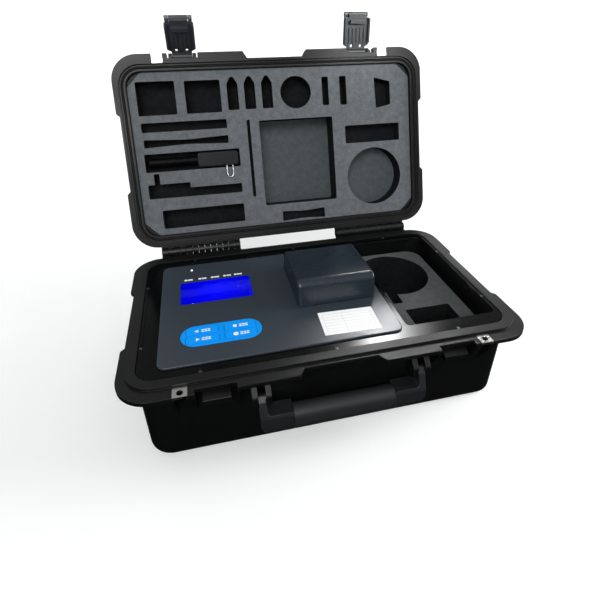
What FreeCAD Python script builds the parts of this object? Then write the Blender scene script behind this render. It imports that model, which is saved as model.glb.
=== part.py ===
import FreeCAD, Part
import math
import os

# Portable water analyser built into a hard carrying case, in millimetres.
# +X is the operator's right, +Y the hinge side, +Z up. The origin is the middle of the base's underside.
# The lid stands open at rest. Lid and latch pieces are drawn closed and then swung to their rest place.

V = FreeCAD.Vector
X_DIR = V(1, 0, 0)
Y_DIR = V(0, 1, 0)
Z_DIR = V(0, 0, 1)

# Sealing band: the raised ring on top of the base, which most outlines of the case follow
BAND_HALF_W = 228.0
BAND_FRONT = 124.5
BAND_BACK = 134.0
BAND_CORNER_R = 31.0
BAND_W = 11.0
BAND_TOP = 108.0
BAND_RISE = 3.0

# Rim flanges with corner bumpers, latch pockets and padlock eyes, set out from the sealing band
FLANGE_SIDE_OVERHANG = 8.5
FLANGE_FRONT_OVERHANG = 14.5
FLANGE_BACK_OVERHANG = 7.5
FLANGE_HALF_W = BAND_HALF_W + FLANGE_SIDE_OVERHANG
FLANGE_FRONT = BAND_FRONT + FLANGE_FRONT_OVERHANG
FLANGE_BACK = BAND_BACK + FLANGE_BACK_OVERHANG
FLANGE_SIDE_STEP = 4.5
FLANGE_STEP_Y = 58.0
FLANGE_CORNER_R = 37.0
FLANGE_H = 5.0
LID_FLANGE_H = 9.0
RIM_FLARE = 5.0
RIM_FLARE_H = 10.0
GRIP_RECESS_HALF_W = 42.0
GRIP_RECESS_SLANT = 6.5
GRIP_RECESS_DEPTH = 10.0
EDGE_R = 1.5

# Walls of the base tub, set in from the sealing band
WALL_INSET = 10.0
FRONT_INSET = 2.5
BACK_INSET = 5.0
SIDE_DRAFT = 2.0
FRONT_DRAFT = 0.5
BASE_TOP_HALF_W = BAND_HALF_W - WALL_INSET
BASE_TOP_FRONT = BAND_FRONT - FRONT_INSET
BASE_TOP_BACK = BAND_BACK - BACK_INSET
BASE_BOTTOM_HALF_W = BASE_TOP_HALF_W - SIDE_DRAFT
BASE_BOTTOM_FRONT = BASE_TOP_FRONT - FRONT_DRAFT
BASE_BOTTOM_BACK = BASE_TOP_BACK - SIDE_DRAFT
BASE_CORNER_R = 28.0
BASE_BOTTOM_FILLET = 7.0
SHELL_WALL = 4.0
BASE_FLOOR = 4.0
LEDGE_W = 5.5
LEDGE_H = 4.0
BEZEL_SEAT_DEPTH = 4.5
SKID_GROOVE_L = 330.0
SKID_GROOVE_W = 9.0
SKID_GROOVE_DEPTH = 1.2
SKID_GROOVE_PITCH = 26.0

# Lid
LID_GAP = 0.4
LID_CAVITY_INSET = 8.5
LID_TOP = 153.0
LID_ROOF = 3.5
LID_WALL = 4.0
LID_DRAFT_INSET = 9.5
LID_TOP_FILLET = 8.0
LID_OPEN_ANGLE = 107.5
REBATE_CLEARANCE = 0.6

# Seal
SEAL_INSET = 3.9
SEAL_R = 1.6
SEAL_GROOVE_CLEARANCE = 0.15

# Hinge
HINGE_Y = 151.1
HINGE_Z = 108.9
HINGE_BARREL_R = 6.3
HINGE_PIN_R = 2.5
RUNNING_FIT = 0.05
HINGE_INNER_X = 79.0
HINGE_END_INSET = 37.5
HINGE_OUTER_X = FLANGE_HALF_W - HINGE_END_INSET
HINGE_KNUCKLES = 13
KNUCKLE_GAP = 0.5

# Latches
LATCH_INSET = 101.0
LATCH_X = FLANGE_HALF_W - LATCH_INSET
LATCH_POCKET_W = 43.0
LATCH_POCKET_DEPTH = 7.0
LATCH_W = 41.0
LATCH_NECK_W = 29.2
LATCH_PIVOT_Y = -137.0
LATCH_PIVOT_Z = 124.0
LATCH_PIN_R = 2.0
LATCH_BARREL_R = 4.6
LATCH_FACE_Y = -139.5
LATCH_PLATE_T = 4.5
LATCH_END_Z = 74.5
LATCH_SKIRT_T = 2.5
LATCH_EAR_T = 5.0
LATCH_EAR_R = 5.2
LATCH_REST_LEFT = 46.5
LATCH_REST_RIGHT = 72.5
LATCH_HOLE_R = 2.4
LATCH_HOLE_PITCH = 15.0
LATCH_HOLE_DROP = 8.6
CLAW_W = 24.0
CLAW_TOP_Z = 83.3
CLAW_H = 5.3
CLAW_REACH = 6.2
KEEPER_W = 29.0
KEEPER_FRONT = 137.0
KEEPER_BOTTOM_Z = 84.0
KEEPER_TOP_Z = 91.0
LEVER_W = 38.0
LEVER_L = 31.0
LEVER_T = 4.0
LEVER_PIVOT_Z = 70.0
LEVER_PIN_R = 1.6
LEVER_BARREL_R = 3.6
LEVER_LUG_W = 26.0
LEVER_GAP = 0.4

# Padlock eyes
PADLOCK_INSET = 65.2
PADLOCK_X = FLANGE_HALF_W - PADLOCK_INSET
PADLOCK_HOLE_SETBACK = 5.8
PADLOCK_Y = -(FLANGE_FRONT - PADLOCK_HOLE_SETBACK)
PADLOCK_HOLE_R = 3.5
PADLOCK_NOTCH_W = 12.0
PADLOCK_NOTCH_DEPTH = 11.5
PADLOCK_PLATE_W = 15.0
PADLOCK_PLATE_T = 3.0
PADLOCK_SEAT = 1.5
CHEEK_T = 4.0

# Gussets under the rim
GUSSET_FOOT_Z = 62.0

# Carrying handle
HANDLE_HALF_W = 94.0
HANDLE_ARM_T = 7.5
HANDLE_PIVOT_Y = -136.0
HANDLE_PIVOT_Z = 80.0
HANDLE_BARREL_R = 7.0
HANDLE_PIN_R = 3.0
HANDLE_BAR_Y = -141.0
HANDLE_BAR_Z = 52.0
HANDLE_BAR_DEPTH = 19.0
HANDLE_BAR_H = 26.0
GRIP_HALF_L = 58.0
GRIP_DEPTH = 22.0
GRIP_H = 28.0
GRIP_R = 10.9
GRIP_CORE_DEPTH = 12.0
GRIP_CORE_H = 16.0
HANDLE_EAR_T = 6.0
HANDLE_EAR_GAP = 0.5
HANDLE_EAR_FOOT = 9.0
HANDLE_INNER_R = 4.0

# Bezel plate that closes the base, and its accessory window
BEZEL_GAP = 0.4
BEZEL_T = 3.5
WINDOW_LEFT = 93.0
WINDOW_RIGHT = BAND_HALF_W - BAND_W - LEDGE_W
WINDOW_FRONT = -93.0
WINDOW_BACK = BAND_BACK - BAND_W - LEDGE_W
WINDOW_R = 6.0
BEZEL_SCREW_R = 1.3
BEZEL_SCREW_HEAD_R = 2.0
BEZEL_SCREW_HEAD_H = 1.4
BEZEL_SCREW_INSET = 2.5

# Instrument panel
PANEL_INSET = 33.0
PANEL_FRONT_INSET = 23.5
PANEL_BACK_INSET = 30.0
PANEL_LEFT = -(BAND_HALF_W - PANEL_INSET)
PANEL_RIGHT = 86.0
PANEL_FRONT = -(BAND_FRONT - PANEL_FRONT_INSET)
PANEL_BACK = BAND_BACK - PANEL_BACK_INSET
PANEL_R = 10.0
PANEL_T = 2.5
PANEL_LAP = 9.0
PANEL_EDGE_R = 1.0

# Display
LCD_INSET = 71.0
LCD_X = PANEL_LEFT + LCD_INSET
LCD_Y = 32.5
LCD_W = 93.0
LCD_H = 49.0
LCD_FRAME = 3.0
LCD_MODULE_T = 7.4
LCD_FIT = 0.2
LED_INSET = 39.5
LED_X = PANEL_LEFT + LED_INSET
LED_Y = 88.5
LED_R = 1.5

# Keypad
KEYPAD_INSET = 71.5
KEYPAD_X = PANEL_LEFT + KEYPAD_INSET
KEYPAD_Y = -56.5
KEYPAD_W = 94.0
KEYPAD_H = 35.0
KEYPAD_LIP = 2.5
KEYPAD_LIP_T = 1.8
KEYPAD_PROUD = 0.7
KEY_W = 37.0
KEY_H = 12.0
KEY_R = 3.0
KEY_PITCH_X = 44.0
KEY_PITCH_Y = 14.5
KEY_GAP = 0.35
KEY_SKIRT = 1.0
KEY_SKIRT_T = 1.2
KEY_TRAVEL = 0.5
DOME_R = 3.2
DOME_H = 0.4

# Paper label on the panel
LABEL_X = 27.5
LABEL_Y = -70.5
LABEL_W = 69.0
LABEL_H = 42.0
LABEL_T = 0.3
LABEL_TURN = -2.0

# Measuring well
WELL_X = 25.0
WELL_Y = 10.0
WELL_R = 12.8
WELL_DEPTH = 50.0
WELL_BLOCK_W = 56.0
WELL_BLOCK_D = 50.0
WELL_BLOCK_FLOOR = 7.0
WELL_STAND_W = 40.0
WELL_STAND_D = 30.0
COLLAR_R = 20.0
COLLAR_BORE_R = 14.0
COLLAR_SPIGOT_R = 15.3
COLLAR_H = 3.0
LIGHT_PATH_R = 3.0
LIGHT_PATH_Z = 74.0
SENSOR_R = 2.5
SENSOR_L = 7.0
LENS_T = 2.0
LENS_SETBACK = 7.4

# Light-tight hood over the well
HOOD_LEFT = -26.0
HOOD_RIGHT = 76.0
HOOD_FRONT = -32.5
HOOD_TOP_Z = 143.5
HOOD_BACK_TOP_Z = 138.5
HOOD_FRONT_LEAN = 5.0
HOOD_WALL = 2.5
HOOD_PIVOT_Y = 60.0
HOOD_PIVOT_Z = 114.0
HOOD_BARREL_R = 4.0
HOOD_PIN_R = 1.5
HOOD_GAP = 0.5
HOOD_FRONT_R = 10.0
HOOD_SIDE_R = 4.0
HOOD_BARREL_L = 20.0
HOOD_EAR_W = 10.0

# Housing under the panel
HOUSING_LEFT = PANEL_LEFT + 5.0
HOUSING_RIGHT = 91.5
HOUSING_FRONT = PANEL_FRONT + 3.0
HOUSING_BACK = PANEL_BACK + 4.0
HOUSING_FLOOR_Z = 14.0
HOUSING_WALL = 2.5
HOUSING_R = 8.0
BOSS_R = 4.0
BOARD_Z = 86.0
BOARD_T = 1.6
BOARD_LEFT = HOUSING_LEFT + 10.0
BOARD_RIGHT = -12.0
BOARD_FRONT = HOUSING_FRONT + 10.0
BOARD_BACK = HOUSING_BACK - 14.0
BOARD_SCREW_R = 1.3
BOARD_SCREW_HEAD_R = 2.8
BOARD_SCREW_HEAD_H = 1.8
STANDOFF_R = 2.6

# Larger components of the main board
CHIPS_INSET = 50.0
PROCESSOR_W = 20.0
PROCESSOR_T = 3.0
PROCESSOR_Y = -20.0
DRIVER_W = 14.0
DRIVER_T = 2.0
DRIVER_Y = 27.0
CAPACITOR_R = 5.0
CAPACITOR_H = 10.0
CAPACITOR_OFFSET = 32.0
CAPACITOR_Y = 60.0
CAPACITOR_PITCH = 15.0

# Battery
BATTERY_INSET = 70.0
BATTERY_X = HOUSING_LEFT + BATTERY_INSET
BATTERY_Y = 45.0
BATTERY_W = 104.0
BATTERY_D = 58.0
BATTERY_H = 38.0
BATTERY_CLAMP_T = 1.5
BATTERY_CLAMP_W = 20.0

# Charging socket in the housing's side, above the accessory foam
SOCKET_Y = -70.0
SOCKET_Z = 93.0
SOCKET_R = 5.0
SOCKET_BORE_R = 2.8
SOCKET_L = 14.0

# Base foam
FOAM_FIT = 0.3
BASE_FOAM_TOP = 83.0
BASE_FOAM_LEFT = 92.0
BASE_FOAM_INSET = 24.0
BASE_FOAM_RIGHT = BAND_HALF_W - BASE_FOAM_INSET
BASE_FOAM_BACK = BAND_BACK - BASE_FOAM_INSET
BASE_FOAM_CORNER_R = 22.0
BOTTLE_X = 139.0
BOTTLE_Y = 50.0
BOTTLE_R = 52.0
BOTTLE_POCKET_DEPTH = 58.0
BASE_BOX_POCKET_DEPTH = 48.0

# Lid foam
FOAM_FACE_RECESS = 5.0
FOAM_CHAMFER = 20.0
POCKET_MARGIN = 25.0
VIAL_POCKET_X = 29.5
VIAL_POCKET_Y = -77.7
VIAL_POCKET_R = 24.3
VIAL_POCKET_DEPTH = 24.0
DISC_POCKET_INSET = 50.0
DISC_POCKET_Y = 62.0
DISC_POCKET_R = 46.5
DISC_POCKET_DEPTH = 26.0
CORNER_WEB_T = 3.0
CORNER_WEB_RECESS = 1.6
CORNER_WEB_GAP = 0.6
CORNER_RIB_H = 1.2

# Pen meter kept in the lid foam
PEN_Y = 15.0
PEN_INSET = 98.0
PEN_JOIN_X = -(BAND_HALF_W - PEN_INSET)
PEN_BODY_L = 61.0
PEN_BODY_W = 22.0
PEN_BODY_T = 13.5
PEN_CAP_L = 73.0
PEN_CAP_R = 7.0
PEN_LOOP_R = 4.5
PEN_LOOP_L = 14.0
PEN_WIRE_R = 0.9
PEN_LUG_H = 2.0
PEN_LUG_L = 6.0


# Geometry helpers

def outline(points, z=0.0):
    """Closed flat wire through (x, y, corner radius) points."""
    count = len(points)
    corners = []
    for i in range(count):
        here = V(points[i][0], points[i][1], z)
        back = V(points[i - 1][0], points[i - 1][1], z) - here
        ahead = V(points[(i + 1) % count][0], points[(i + 1) % count][1], z) - here
        radius = points[i][2]
        if radius <= 0:
            corners.append((here, None, here))
            continue
        back.normalize()
        ahead.normalize()
        half_angle = back.getAngle(ahead) / 2
        middle = back + ahead
        middle.normalize()
        reach = radius / math.tan(half_angle)
        arc_top = here + middle * (radius / math.sin(half_angle) - radius)
        corners.append((here + back * reach, arc_top, here + ahead * reach))
    edges = []
    for i in range(count):
        start = corners[i - 1][2]
        end = corners[i][0]
        if start.distanceToPoint(end) > 1e-6:
            edges.append(Part.LineSegment(start, end).toShape())
        if corners[i][1] is not None:
            edges.append(Part.Arc(corners[i][0], corners[i][1], corners[i][2]).toShape())
    return Part.Wire(edges)


def prism(wire, height):
    """Solid raised from a flat wire along +Z."""
    return Part.Face(wire).extrude(V(0, 0, height))


def slab(points, z_low, z_high):
    """Upright solid between two heights."""
    return prism(outline(points, z_low), z_high - z_low)


def rectangle(x_low, x_high, y_low, y_high, radius):
    """Corner points of a rectangle with rounded corners."""
    return [(x_low, y_low, radius), (x_high, y_low, radius), (x_high, y_high, radius),
            (x_low, y_high, radius)]


def tub(half_w, front, back, radius):
    """Corner points of an outline that is even about X."""
    return rectangle(-half_w, half_w, -front, back, radius)


def band_outline(inset):
    """The sealing band's outer line, moved inwards."""
    return tub(BAND_HALF_W - inset, BAND_FRONT - inset, BAND_BACK - inset, BAND_CORNER_R - inset)


def frustum(low_points, z_low, high_points, z_high):
    """Tapered solid between two outlines."""
    return Part.makeLoft([outline(low_points, z_low), outline(high_points, z_high)], True, True)


def between(low_points, high_points, share):
    """Outline part of the way from one outline to another."""
    return [tuple(a + (b - a) * share for a, b in zip(low, high)) for low,
            high in zip(low_points, high_points)]


def block(x_low, x_high, y_low, y_high, z_low, z_high):
    """Plain box between two corners."""
    return Part.makeBox(x_high - x_low, y_high - y_low, z_high - z_low, V(x_low, y_low, z_low))


def rod_x(radius, x_low, x_high, y, z):
    """Round bar along X."""
    return Part.makeCylinder(radius, x_high - x_low, V(x_low, y, z), X_DIR)


def rod_y(radius, y_low, y_high, x, z):
    """Round bar along Y."""
    return Part.makeCylinder(radius, y_high - y_low, V(x, y_low, z), Y_DIR)


def rod_z(radius, z_low, z_high, x, y):
    """Round bar along Z."""
    return Part.makeCylinder(radius, z_high - z_low, V(x, y, z_low), Z_DIR)


def side_profile(points, x_low, x_high):
    """Solid with a (y, z, corner radius) profile, running along X."""
    wire = outline(points)
    wire.rotate(V(0, 0, 0), X_DIR, 90)
    wire.rotate(V(0, 0, 0), Z_DIR, 90)
    wire.translate(V(x_low, 0, 0))
    return Part.Face(wire).extrude(V(x_high - x_low, 0, 0))


def front_profile(points, y_low, y_high):
    """Solid with an (x, z, corner radius) profile, running along Y."""
    wire = outline(points)
    wire.rotate(V(0, 0, 0), X_DIR, 90)
    wire.translate(V(0, y_high, 0))
    return Part.Face(wire).extrude(V(0, y_low - y_high, 0))


def both_sides(shape):
    """A shape and its mirror image about the middle plane."""
    return [shape, shape.mirror(V(0, 0, 0), X_DIR)]


def edges_at(shape, z):
    """Edges that lie wholly at one height."""
    return [e for e in shape.Edges if abs(e.BoundBox.ZMin - z) < 1e-3 and abs(e.BoundBox.ZMax - z) < 1e-3]


def open_lid(shape):
    """Swing a piece drawn with the lid closed to the lid's rest place."""
    return shape.rotated(V(0, HINGE_Y, HINGE_Z), X_DIR, -LID_OPEN_ANGLE)


def lift_latch(shape, side):
    """Swing a piece drawn with the latch shut to the latch's rest place on the open lid."""
    angle = LATCH_REST_LEFT if side < 0 else LATCH_REST_RIGHT
    lifted = shape.rotated(V(0, LATCH_PIVOT_Y, LATCH_PIVOT_Z), X_DIR, -angle)
    return open_lid(lifted)


def write(name, shape):
    """Write one named piece, after checking that it is sound."""
    solids = shape.Solids
    if not solids or not shape.isValid():
        raise ValueError("unsound piece: " + name)
    piece = solids[0] if len(solids) == 1 else Part.makeCompound(solids)
    piece.exportStep("parts/" + name + ".step")


# Heights and places that follow from the driving sizes
FLANGE_TOP = BAND_TOP - BAND_RISE
FLANGE_BOTTOM = FLANGE_TOP - FLANGE_H
BEZEL_BOTTOM = BAND_TOP - BEZEL_SEAT_DEPTH
BEZEL_TOP = BEZEL_BOTTOM + BEZEL_T
PANEL_TOP = BEZEL_TOP + PANEL_T
LEDGE_BOTTOM = BEZEL_BOTTOM - LEDGE_H
LID_BOTTOM = FLANGE_TOP + LID_GAP
LID_LAND = BAND_TOP + LID_GAP
LID_FLANGE_TOP = LID_BOTTOM + LID_FLANGE_H
LID_CEILING = LID_TOP - LID_ROOF
FOAM_FACE = BAND_TOP + FOAM_FACE_RECESS
BOARD_TOP = BOARD_Z + BOARD_T
KEYPAD_TOP = PANEL_TOP + KEYPAD_PROUD
KEY_SKIRT_TOP = BEZEL_TOP - KEYPAD_LIP_T - LEVER_GAP
KEY_SKIRT_BOTTOM = KEY_SKIRT_TOP - KEY_SKIRT_T
KEY_BOARD_TOP = KEY_SKIRT_BOTTOM - KEY_TRAVEL - DOME_H - 0.2
KEY_BOARD_BOTTOM = KEY_BOARD_TOP - BOARD_T
LCD_BOTTOM = BEZEL_TOP - LCD_MODULE_T
HOUSING_FLOOR_TOP = HOUSING_FLOOR_Z + HOUSING_WALL
PADLOCK_SIDES = ((-1, "left"), (1, "right"))
BASE_BOTTOM_OUTLINE = tub(BASE_BOTTOM_HALF_W, BASE_BOTTOM_FRONT, BASE_BOTTOM_BACK, BASE_CORNER_R)
BASE_TOP_OUTLINE = tub(BASE_TOP_HALF_W, BASE_TOP_FRONT, BASE_TOP_BACK, BASE_CORNER_R)


def flange_outline():
    """Rim outline with bumpers, latch pockets, padlock notches and the recess over the handle."""
    pocket_y = -(FLANGE_FRONT - LATCH_POCKET_DEPTH)
    notch_y = -(FLANGE_FRONT - PADLOCK_NOTCH_DEPTH)
    recess_y = -(FLANGE_FRONT - GRIP_RECESS_DEPTH)
    front_y = -FLANGE_FRONT
    side_x = FLANGE_HALF_W - FLANGE_SIDE_STEP
    step_y = FLANGE_STEP_Y - FLANGE_SIDE_STEP
    right = [
        (GRIP_RECESS_HALF_W, recess_y, EDGE_R),
        (GRIP_RECESS_HALF_W + GRIP_RECESS_SLANT, front_y, EDGE_R),
        (LATCH_X - LATCH_POCKET_W / 2, front_y, EDGE_R),
        (LATCH_X - LATCH_POCKET_W / 2, pocket_y, 0),
        (LATCH_X + LATCH_POCKET_W / 2, pocket_y, 0),
        (LATCH_X + LATCH_POCKET_W / 2, front_y, EDGE_R),
        (PADLOCK_X - PADLOCK_NOTCH_W / 2, front_y, EDGE_R),
        (PADLOCK_X - PADLOCK_NOTCH_W / 2, notch_y, 0),
        (PADLOCK_X + PADLOCK_NOTCH_W / 2, notch_y, 0),
        (PADLOCK_X + PADLOCK_NOTCH_W / 2, front_y, EDGE_R),
        (FLANGE_HALF_W, front_y, FLANGE_CORNER_R),
        (FLANGE_HALF_W, -FLANGE_STEP_Y, EDGE_R),
        (side_x, -step_y, EDGE_R),
        (side_x, step_y, EDGE_R),
        (FLANGE_HALF_W, FLANGE_STEP_Y, EDGE_R),
        (FLANGE_HALF_W, FLANGE_BACK, FLANGE_CORNER_R),
    ]
    left = [(-x, y, r) for x, y, r in reversed(right)]
    return right + left


def base_cavity_outline(z, clearance):
    """Inside of the base walls at a height."""
    share = z / FLANGE_BOTTOM
    inset = SHELL_WALL + clearance
    walls = between(BASE_BOTTOM_OUTLINE, BASE_TOP_OUTLINE, share)
    half_w, back, radius = walls[2]
    return tub(half_w - inset, -walls[0][1] - inset, back - inset, radius - inset)


def lid_cavity_outline(z, clearance):
    """Inside of the lid walls at a closed-lid height."""
    share = (z - LID_LAND) / (LID_CEILING - LID_LAND)
    inset = LID_CAVITY_INSET + LID_DRAFT_INSET * share + clearance
    return band_outline(inset)


def padlock_rebate(z_low, z_high, side):
    """Shallow seat for a padlock plate in a rim's cheeks."""
    half_w = PADLOCK_PLATE_W / 2 + 0.1
    x = side * PADLOCK_X
    back_y = -FLANGE_FRONT + PADLOCK_NOTCH_DEPTH + PADLOCK_SEAT + 0.1
    return block(x - half_w, x + half_w, -FLANGE_FRONT - 1, back_y, z_low, z_high)


def knuckle_spans(which):
    """X spans of the hinge knuckles that belong to the base (0) or the lid (1), right-hand side."""
    pitch = (HINGE_OUTER_X - HINGE_INNER_X) / HINGE_KNUCKLES
    spans = []
    for i in range(which, HINGE_KNUCKLES, 2):
        start = HINGE_INNER_X + i * pitch
        spans.append((start + KNUCKLE_GAP / 2, start + pitch - KNUCKLE_GAP / 2))
    return spans


def gusset(x_low, x_high, z_top):
    """Triangular web that carries the rim flange on the front wall."""
    profile = [(-BASE_BOTTOM_FRONT + 1, GUSSET_FOOT_Z, 0), (-FLANGE_FRONT, FLANGE_BOTTOM - 1.5, 1),
               (-FLANGE_FRONT, z_top, 0), (-BASE_BOTTOM_FRONT + 1, z_top, 0)]
    return side_profile(profile, x_low, x_high)


def hinge_strip(z_low, z_high):
    """Strip along the hinge that closes the gap under or over the knuckles, hollowed to clear them."""
    strip = block(HINGE_INNER_X, HINGE_OUTER_X, FLANGE_BACK - 2, HINGE_Y - 1, z_low, z_high)
    return strip.cut(rod_x(HINGE_BARREL_R + KNUCKLE_GAP, HINGE_INNER_X - 1, HINGE_OUTER_X + 1, HINGE_Y,
                           HINGE_Z))


# Case base

def make_base_shell():
    """Tub with rim, latch keepers, handle ears, padlock cheeks and hinge knuckles."""
    share = FLANGE_TOP / FLANGE_BOTTOM
    walls = frustum(BASE_BOTTOM_OUTLINE, 0, between(BASE_BOTTOM_OUTLINE, BASE_TOP_OUTLINE, share),
                    FLANGE_TOP)
    walls = walls.makeFillet(BASE_BOTTOM_FILLET, edges_at(walls, 0))
    flange = slab(flange_outline(), FLANGE_BOTTOM, FLANGE_TOP)
    band = slab(band_outline(0), FLANGE_TOP - 1, BAND_TOP)
    flare_foot = FLANGE_BOTTOM - RIM_FLARE_H
    flare_top = tub(BASE_TOP_HALF_W + RIM_FLARE, BASE_TOP_FRONT + RIM_FLARE, BASE_TOP_BACK + RIM_FLARE,
                    BASE_CORNER_R + RIM_FLARE)
    flare_low = between(BASE_BOTTOM_OUTLINE, BASE_TOP_OUTLINE, flare_foot / FLANGE_BOTTOM)
    flare = frustum(flare_low, flare_foot, flare_top, FLANGE_BOTTOM + 0.5)
    solids = [flange, band, flare]
    pocket_low = LATCH_X - LATCH_POCKET_W / 2
    pocket_high = LATCH_X + LATCH_POCKET_W / 2
    notch_low = PADLOCK_X - PADLOCK_NOTCH_W / 2
    notch_high = PADLOCK_X + PADLOCK_NOTCH_W / 2
    for x_low, x_high in ((pocket_low - 3, pocket_low), (pocket_high, notch_low),
                          (notch_high, notch_high + CHEEK_T)):
        solids += both_sides(gusset(x_low, x_high, FLANGE_TOP - 1))
    keeper = side_profile([(-BASE_BOTTOM_FRONT + 1, KEEPER_BOTTOM_Z - 6, 0),
                           (-BASE_TOP_FRONT - 3, KEEPER_BOTTOM_Z, 0),
                           (-KEEPER_FRONT, KEEPER_BOTTOM_Z, 1), (-KEEPER_FRONT, KEEPER_TOP_Z, 1),
                           (-BASE_TOP_FRONT - RIM_FLARE, KEEPER_TOP_Z + 4, 0),
                           (-BASE_BOTTOM_FRONT + 1, KEEPER_TOP_Z + 4, 0)],
                          LATCH_X - KEEPER_W / 2, LATCH_X + KEEPER_W / 2)
    solids += both_sides(keeper)
    arm_inner = HANDLE_HALF_W - HANDLE_ARM_T
    for x_low in (arm_inner - HANDLE_EAR_GAP - HANDLE_EAR_T, HANDLE_HALF_W + HANDLE_EAR_GAP):
        front_y = HANDLE_PIVOT_Y - HANDLE_BARREL_R
        ear_profile = [(-BASE_BOTTOM_FRONT + 1, HANDLE_PIVOT_Z - HANDLE_EAR_FOOT, 0),
                       (front_y, HANDLE_PIVOT_Z - HANDLE_BARREL_R, HANDLE_BARREL_R - 1),
                       (front_y, HANDLE_PIVOT_Z + HANDLE_BARREL_R, HANDLE_BARREL_R - 1),
                       (-FLANGE_FRONT + GRIP_RECESS_DEPTH, FLANGE_BOTTOM + 1, 0),
                       (-BASE_BOTTOM_FRONT + 1, FLANGE_BOTTOM + 1, 0)]
        solids += both_sides(side_profile(ear_profile, x_low, x_low + HANDLE_EAR_T))
    solids += both_sides(hinge_strip(FLANGE_BOTTOM, FLANGE_TOP))
    for x_low, x_high in knuckle_spans(0):
        solids += both_sides(rod_x(HINGE_BARREL_R, x_low, x_high, HINGE_Y, HINGE_Z))
        solids += both_sides(block(x_low, x_high, FLANGE_BACK - 2, HINGE_Y, FLANGE_BOTTOM + 1, FLANGE_TOP))
    shell = walls.fuse(solids)
    cuts = [frustum(base_cavity_outline(BASE_FLOOR, 0), BASE_FLOOR,
                    base_cavity_outline(LEDGE_BOTTOM, 0), LEDGE_BOTTOM),
            slab(band_outline(BAND_W + LEDGE_W), LEDGE_BOTTOM - 1, BEZEL_BOTTOM),
            slab(band_outline(BAND_W), BEZEL_BOTTOM, BAND_TOP + 1)]
    cuts += both_sides(rod_x(HINGE_PIN_R + RUNNING_FIT, HINGE_INNER_X - 1, HINGE_OUTER_X + 1, HINGE_Y,
                             HINGE_Z))
    pin_x = HANDLE_HALF_W - HANDLE_ARM_T / 2
    pin_half = HANDLE_ARM_T / 2 + HANDLE_EAR_GAP + HANDLE_EAR_T
    cuts += both_sides(rod_x(HANDLE_PIN_R, pin_x - pin_half - 1, pin_x + pin_half + 1, HANDLE_PIVOT_Y,
                             HANDLE_PIVOT_Z))
    cuts += [padlock_rebate(FLANGE_TOP - PADLOCK_PLATE_T, FLANGE_TOP + 1, side) for side, _ in PADLOCK_SIDES]
    for row in (-2, -1, 1, 2):
        y = row * SKID_GROOVE_PITCH
        groove = rectangle(-SKID_GROOVE_L / 2, SKID_GROOVE_L / 2, y - SKID_GROOVE_W / 2,
                           y + SKID_GROOVE_W / 2, 4)
        cuts.append(slab(groove, -1, SKID_GROOVE_DEPTH))
    for x, y in bezel_screw_places():
        cuts.append(rod_z(BEZEL_SCREW_R, LEDGE_BOTTOM - 1, BEZEL_BOTTOM + 1, x, y))
    return shell.cut(cuts)


def padlock_plate(side, z_low):
    """Steel plate with the padlock hole."""
    half_w = PADLOCK_PLATE_W / 2
    x = side * PADLOCK_X
    back_y = -FLANGE_FRONT + PADLOCK_NOTCH_DEPTH + PADLOCK_SEAT
    points = rectangle(x - half_w, x + half_w, -FLANGE_FRONT, back_y, 1)
    plate = slab(points, z_low, z_low + PADLOCK_PLATE_T)
    return plate.cut(rod_z(PADLOCK_HOLE_R, z_low - 1, z_low + PADLOCK_PLATE_T + 1, x, PADLOCK_Y))


def make_hinge_pin(side):
    """Straight pin through one group of knuckles."""
    pin = rod_x(HINGE_PIN_R, HINGE_INNER_X, HINGE_OUTER_X, HINGE_Y, HINGE_Z)
    return pin if side > 0 else pin.mirror(V(0, 0, 0), X_DIR)


def make_base_foam():
    """Soft block right of the instrument, with a round bottle pocket and a square one."""
    front = base_cavity_outline(BASE_FLOOR, FOAM_FIT)[0][1]
    foam = slab([(BASE_FOAM_LEFT, front, 2), (BASE_FOAM_RIGHT, front, BASE_FOAM_CORNER_R),
                 (BASE_FOAM_RIGHT, BASE_FOAM_BACK, BASE_FOAM_CORNER_R), (BASE_FOAM_LEFT, BASE_FOAM_BACK, 2)],
                BASE_FLOOR, BASE_FOAM_TOP)
    bottle = rod_z(BOTTLE_R, BASE_FOAM_TOP - BOTTLE_POCKET_DEPTH, BASE_FOAM_TOP + 1, BOTTLE_X, BOTTLE_Y)
    finger_notch = slab(rectangle(110, 124, -20, 20, 2), BASE_FOAM_TOP - BOTTLE_POCKET_DEPTH / 2,
                        BASE_FOAM_TOP + 1)
    box_pocket = slab(rectangle(119.5, 182.5, -84, -36, 2), BASE_FOAM_TOP - BASE_BOX_POCKET_DEPTH,
                      BASE_FOAM_TOP + 1)
    return foam.cut([bottle, finger_notch, box_pocket])


# Carrying handle

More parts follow.
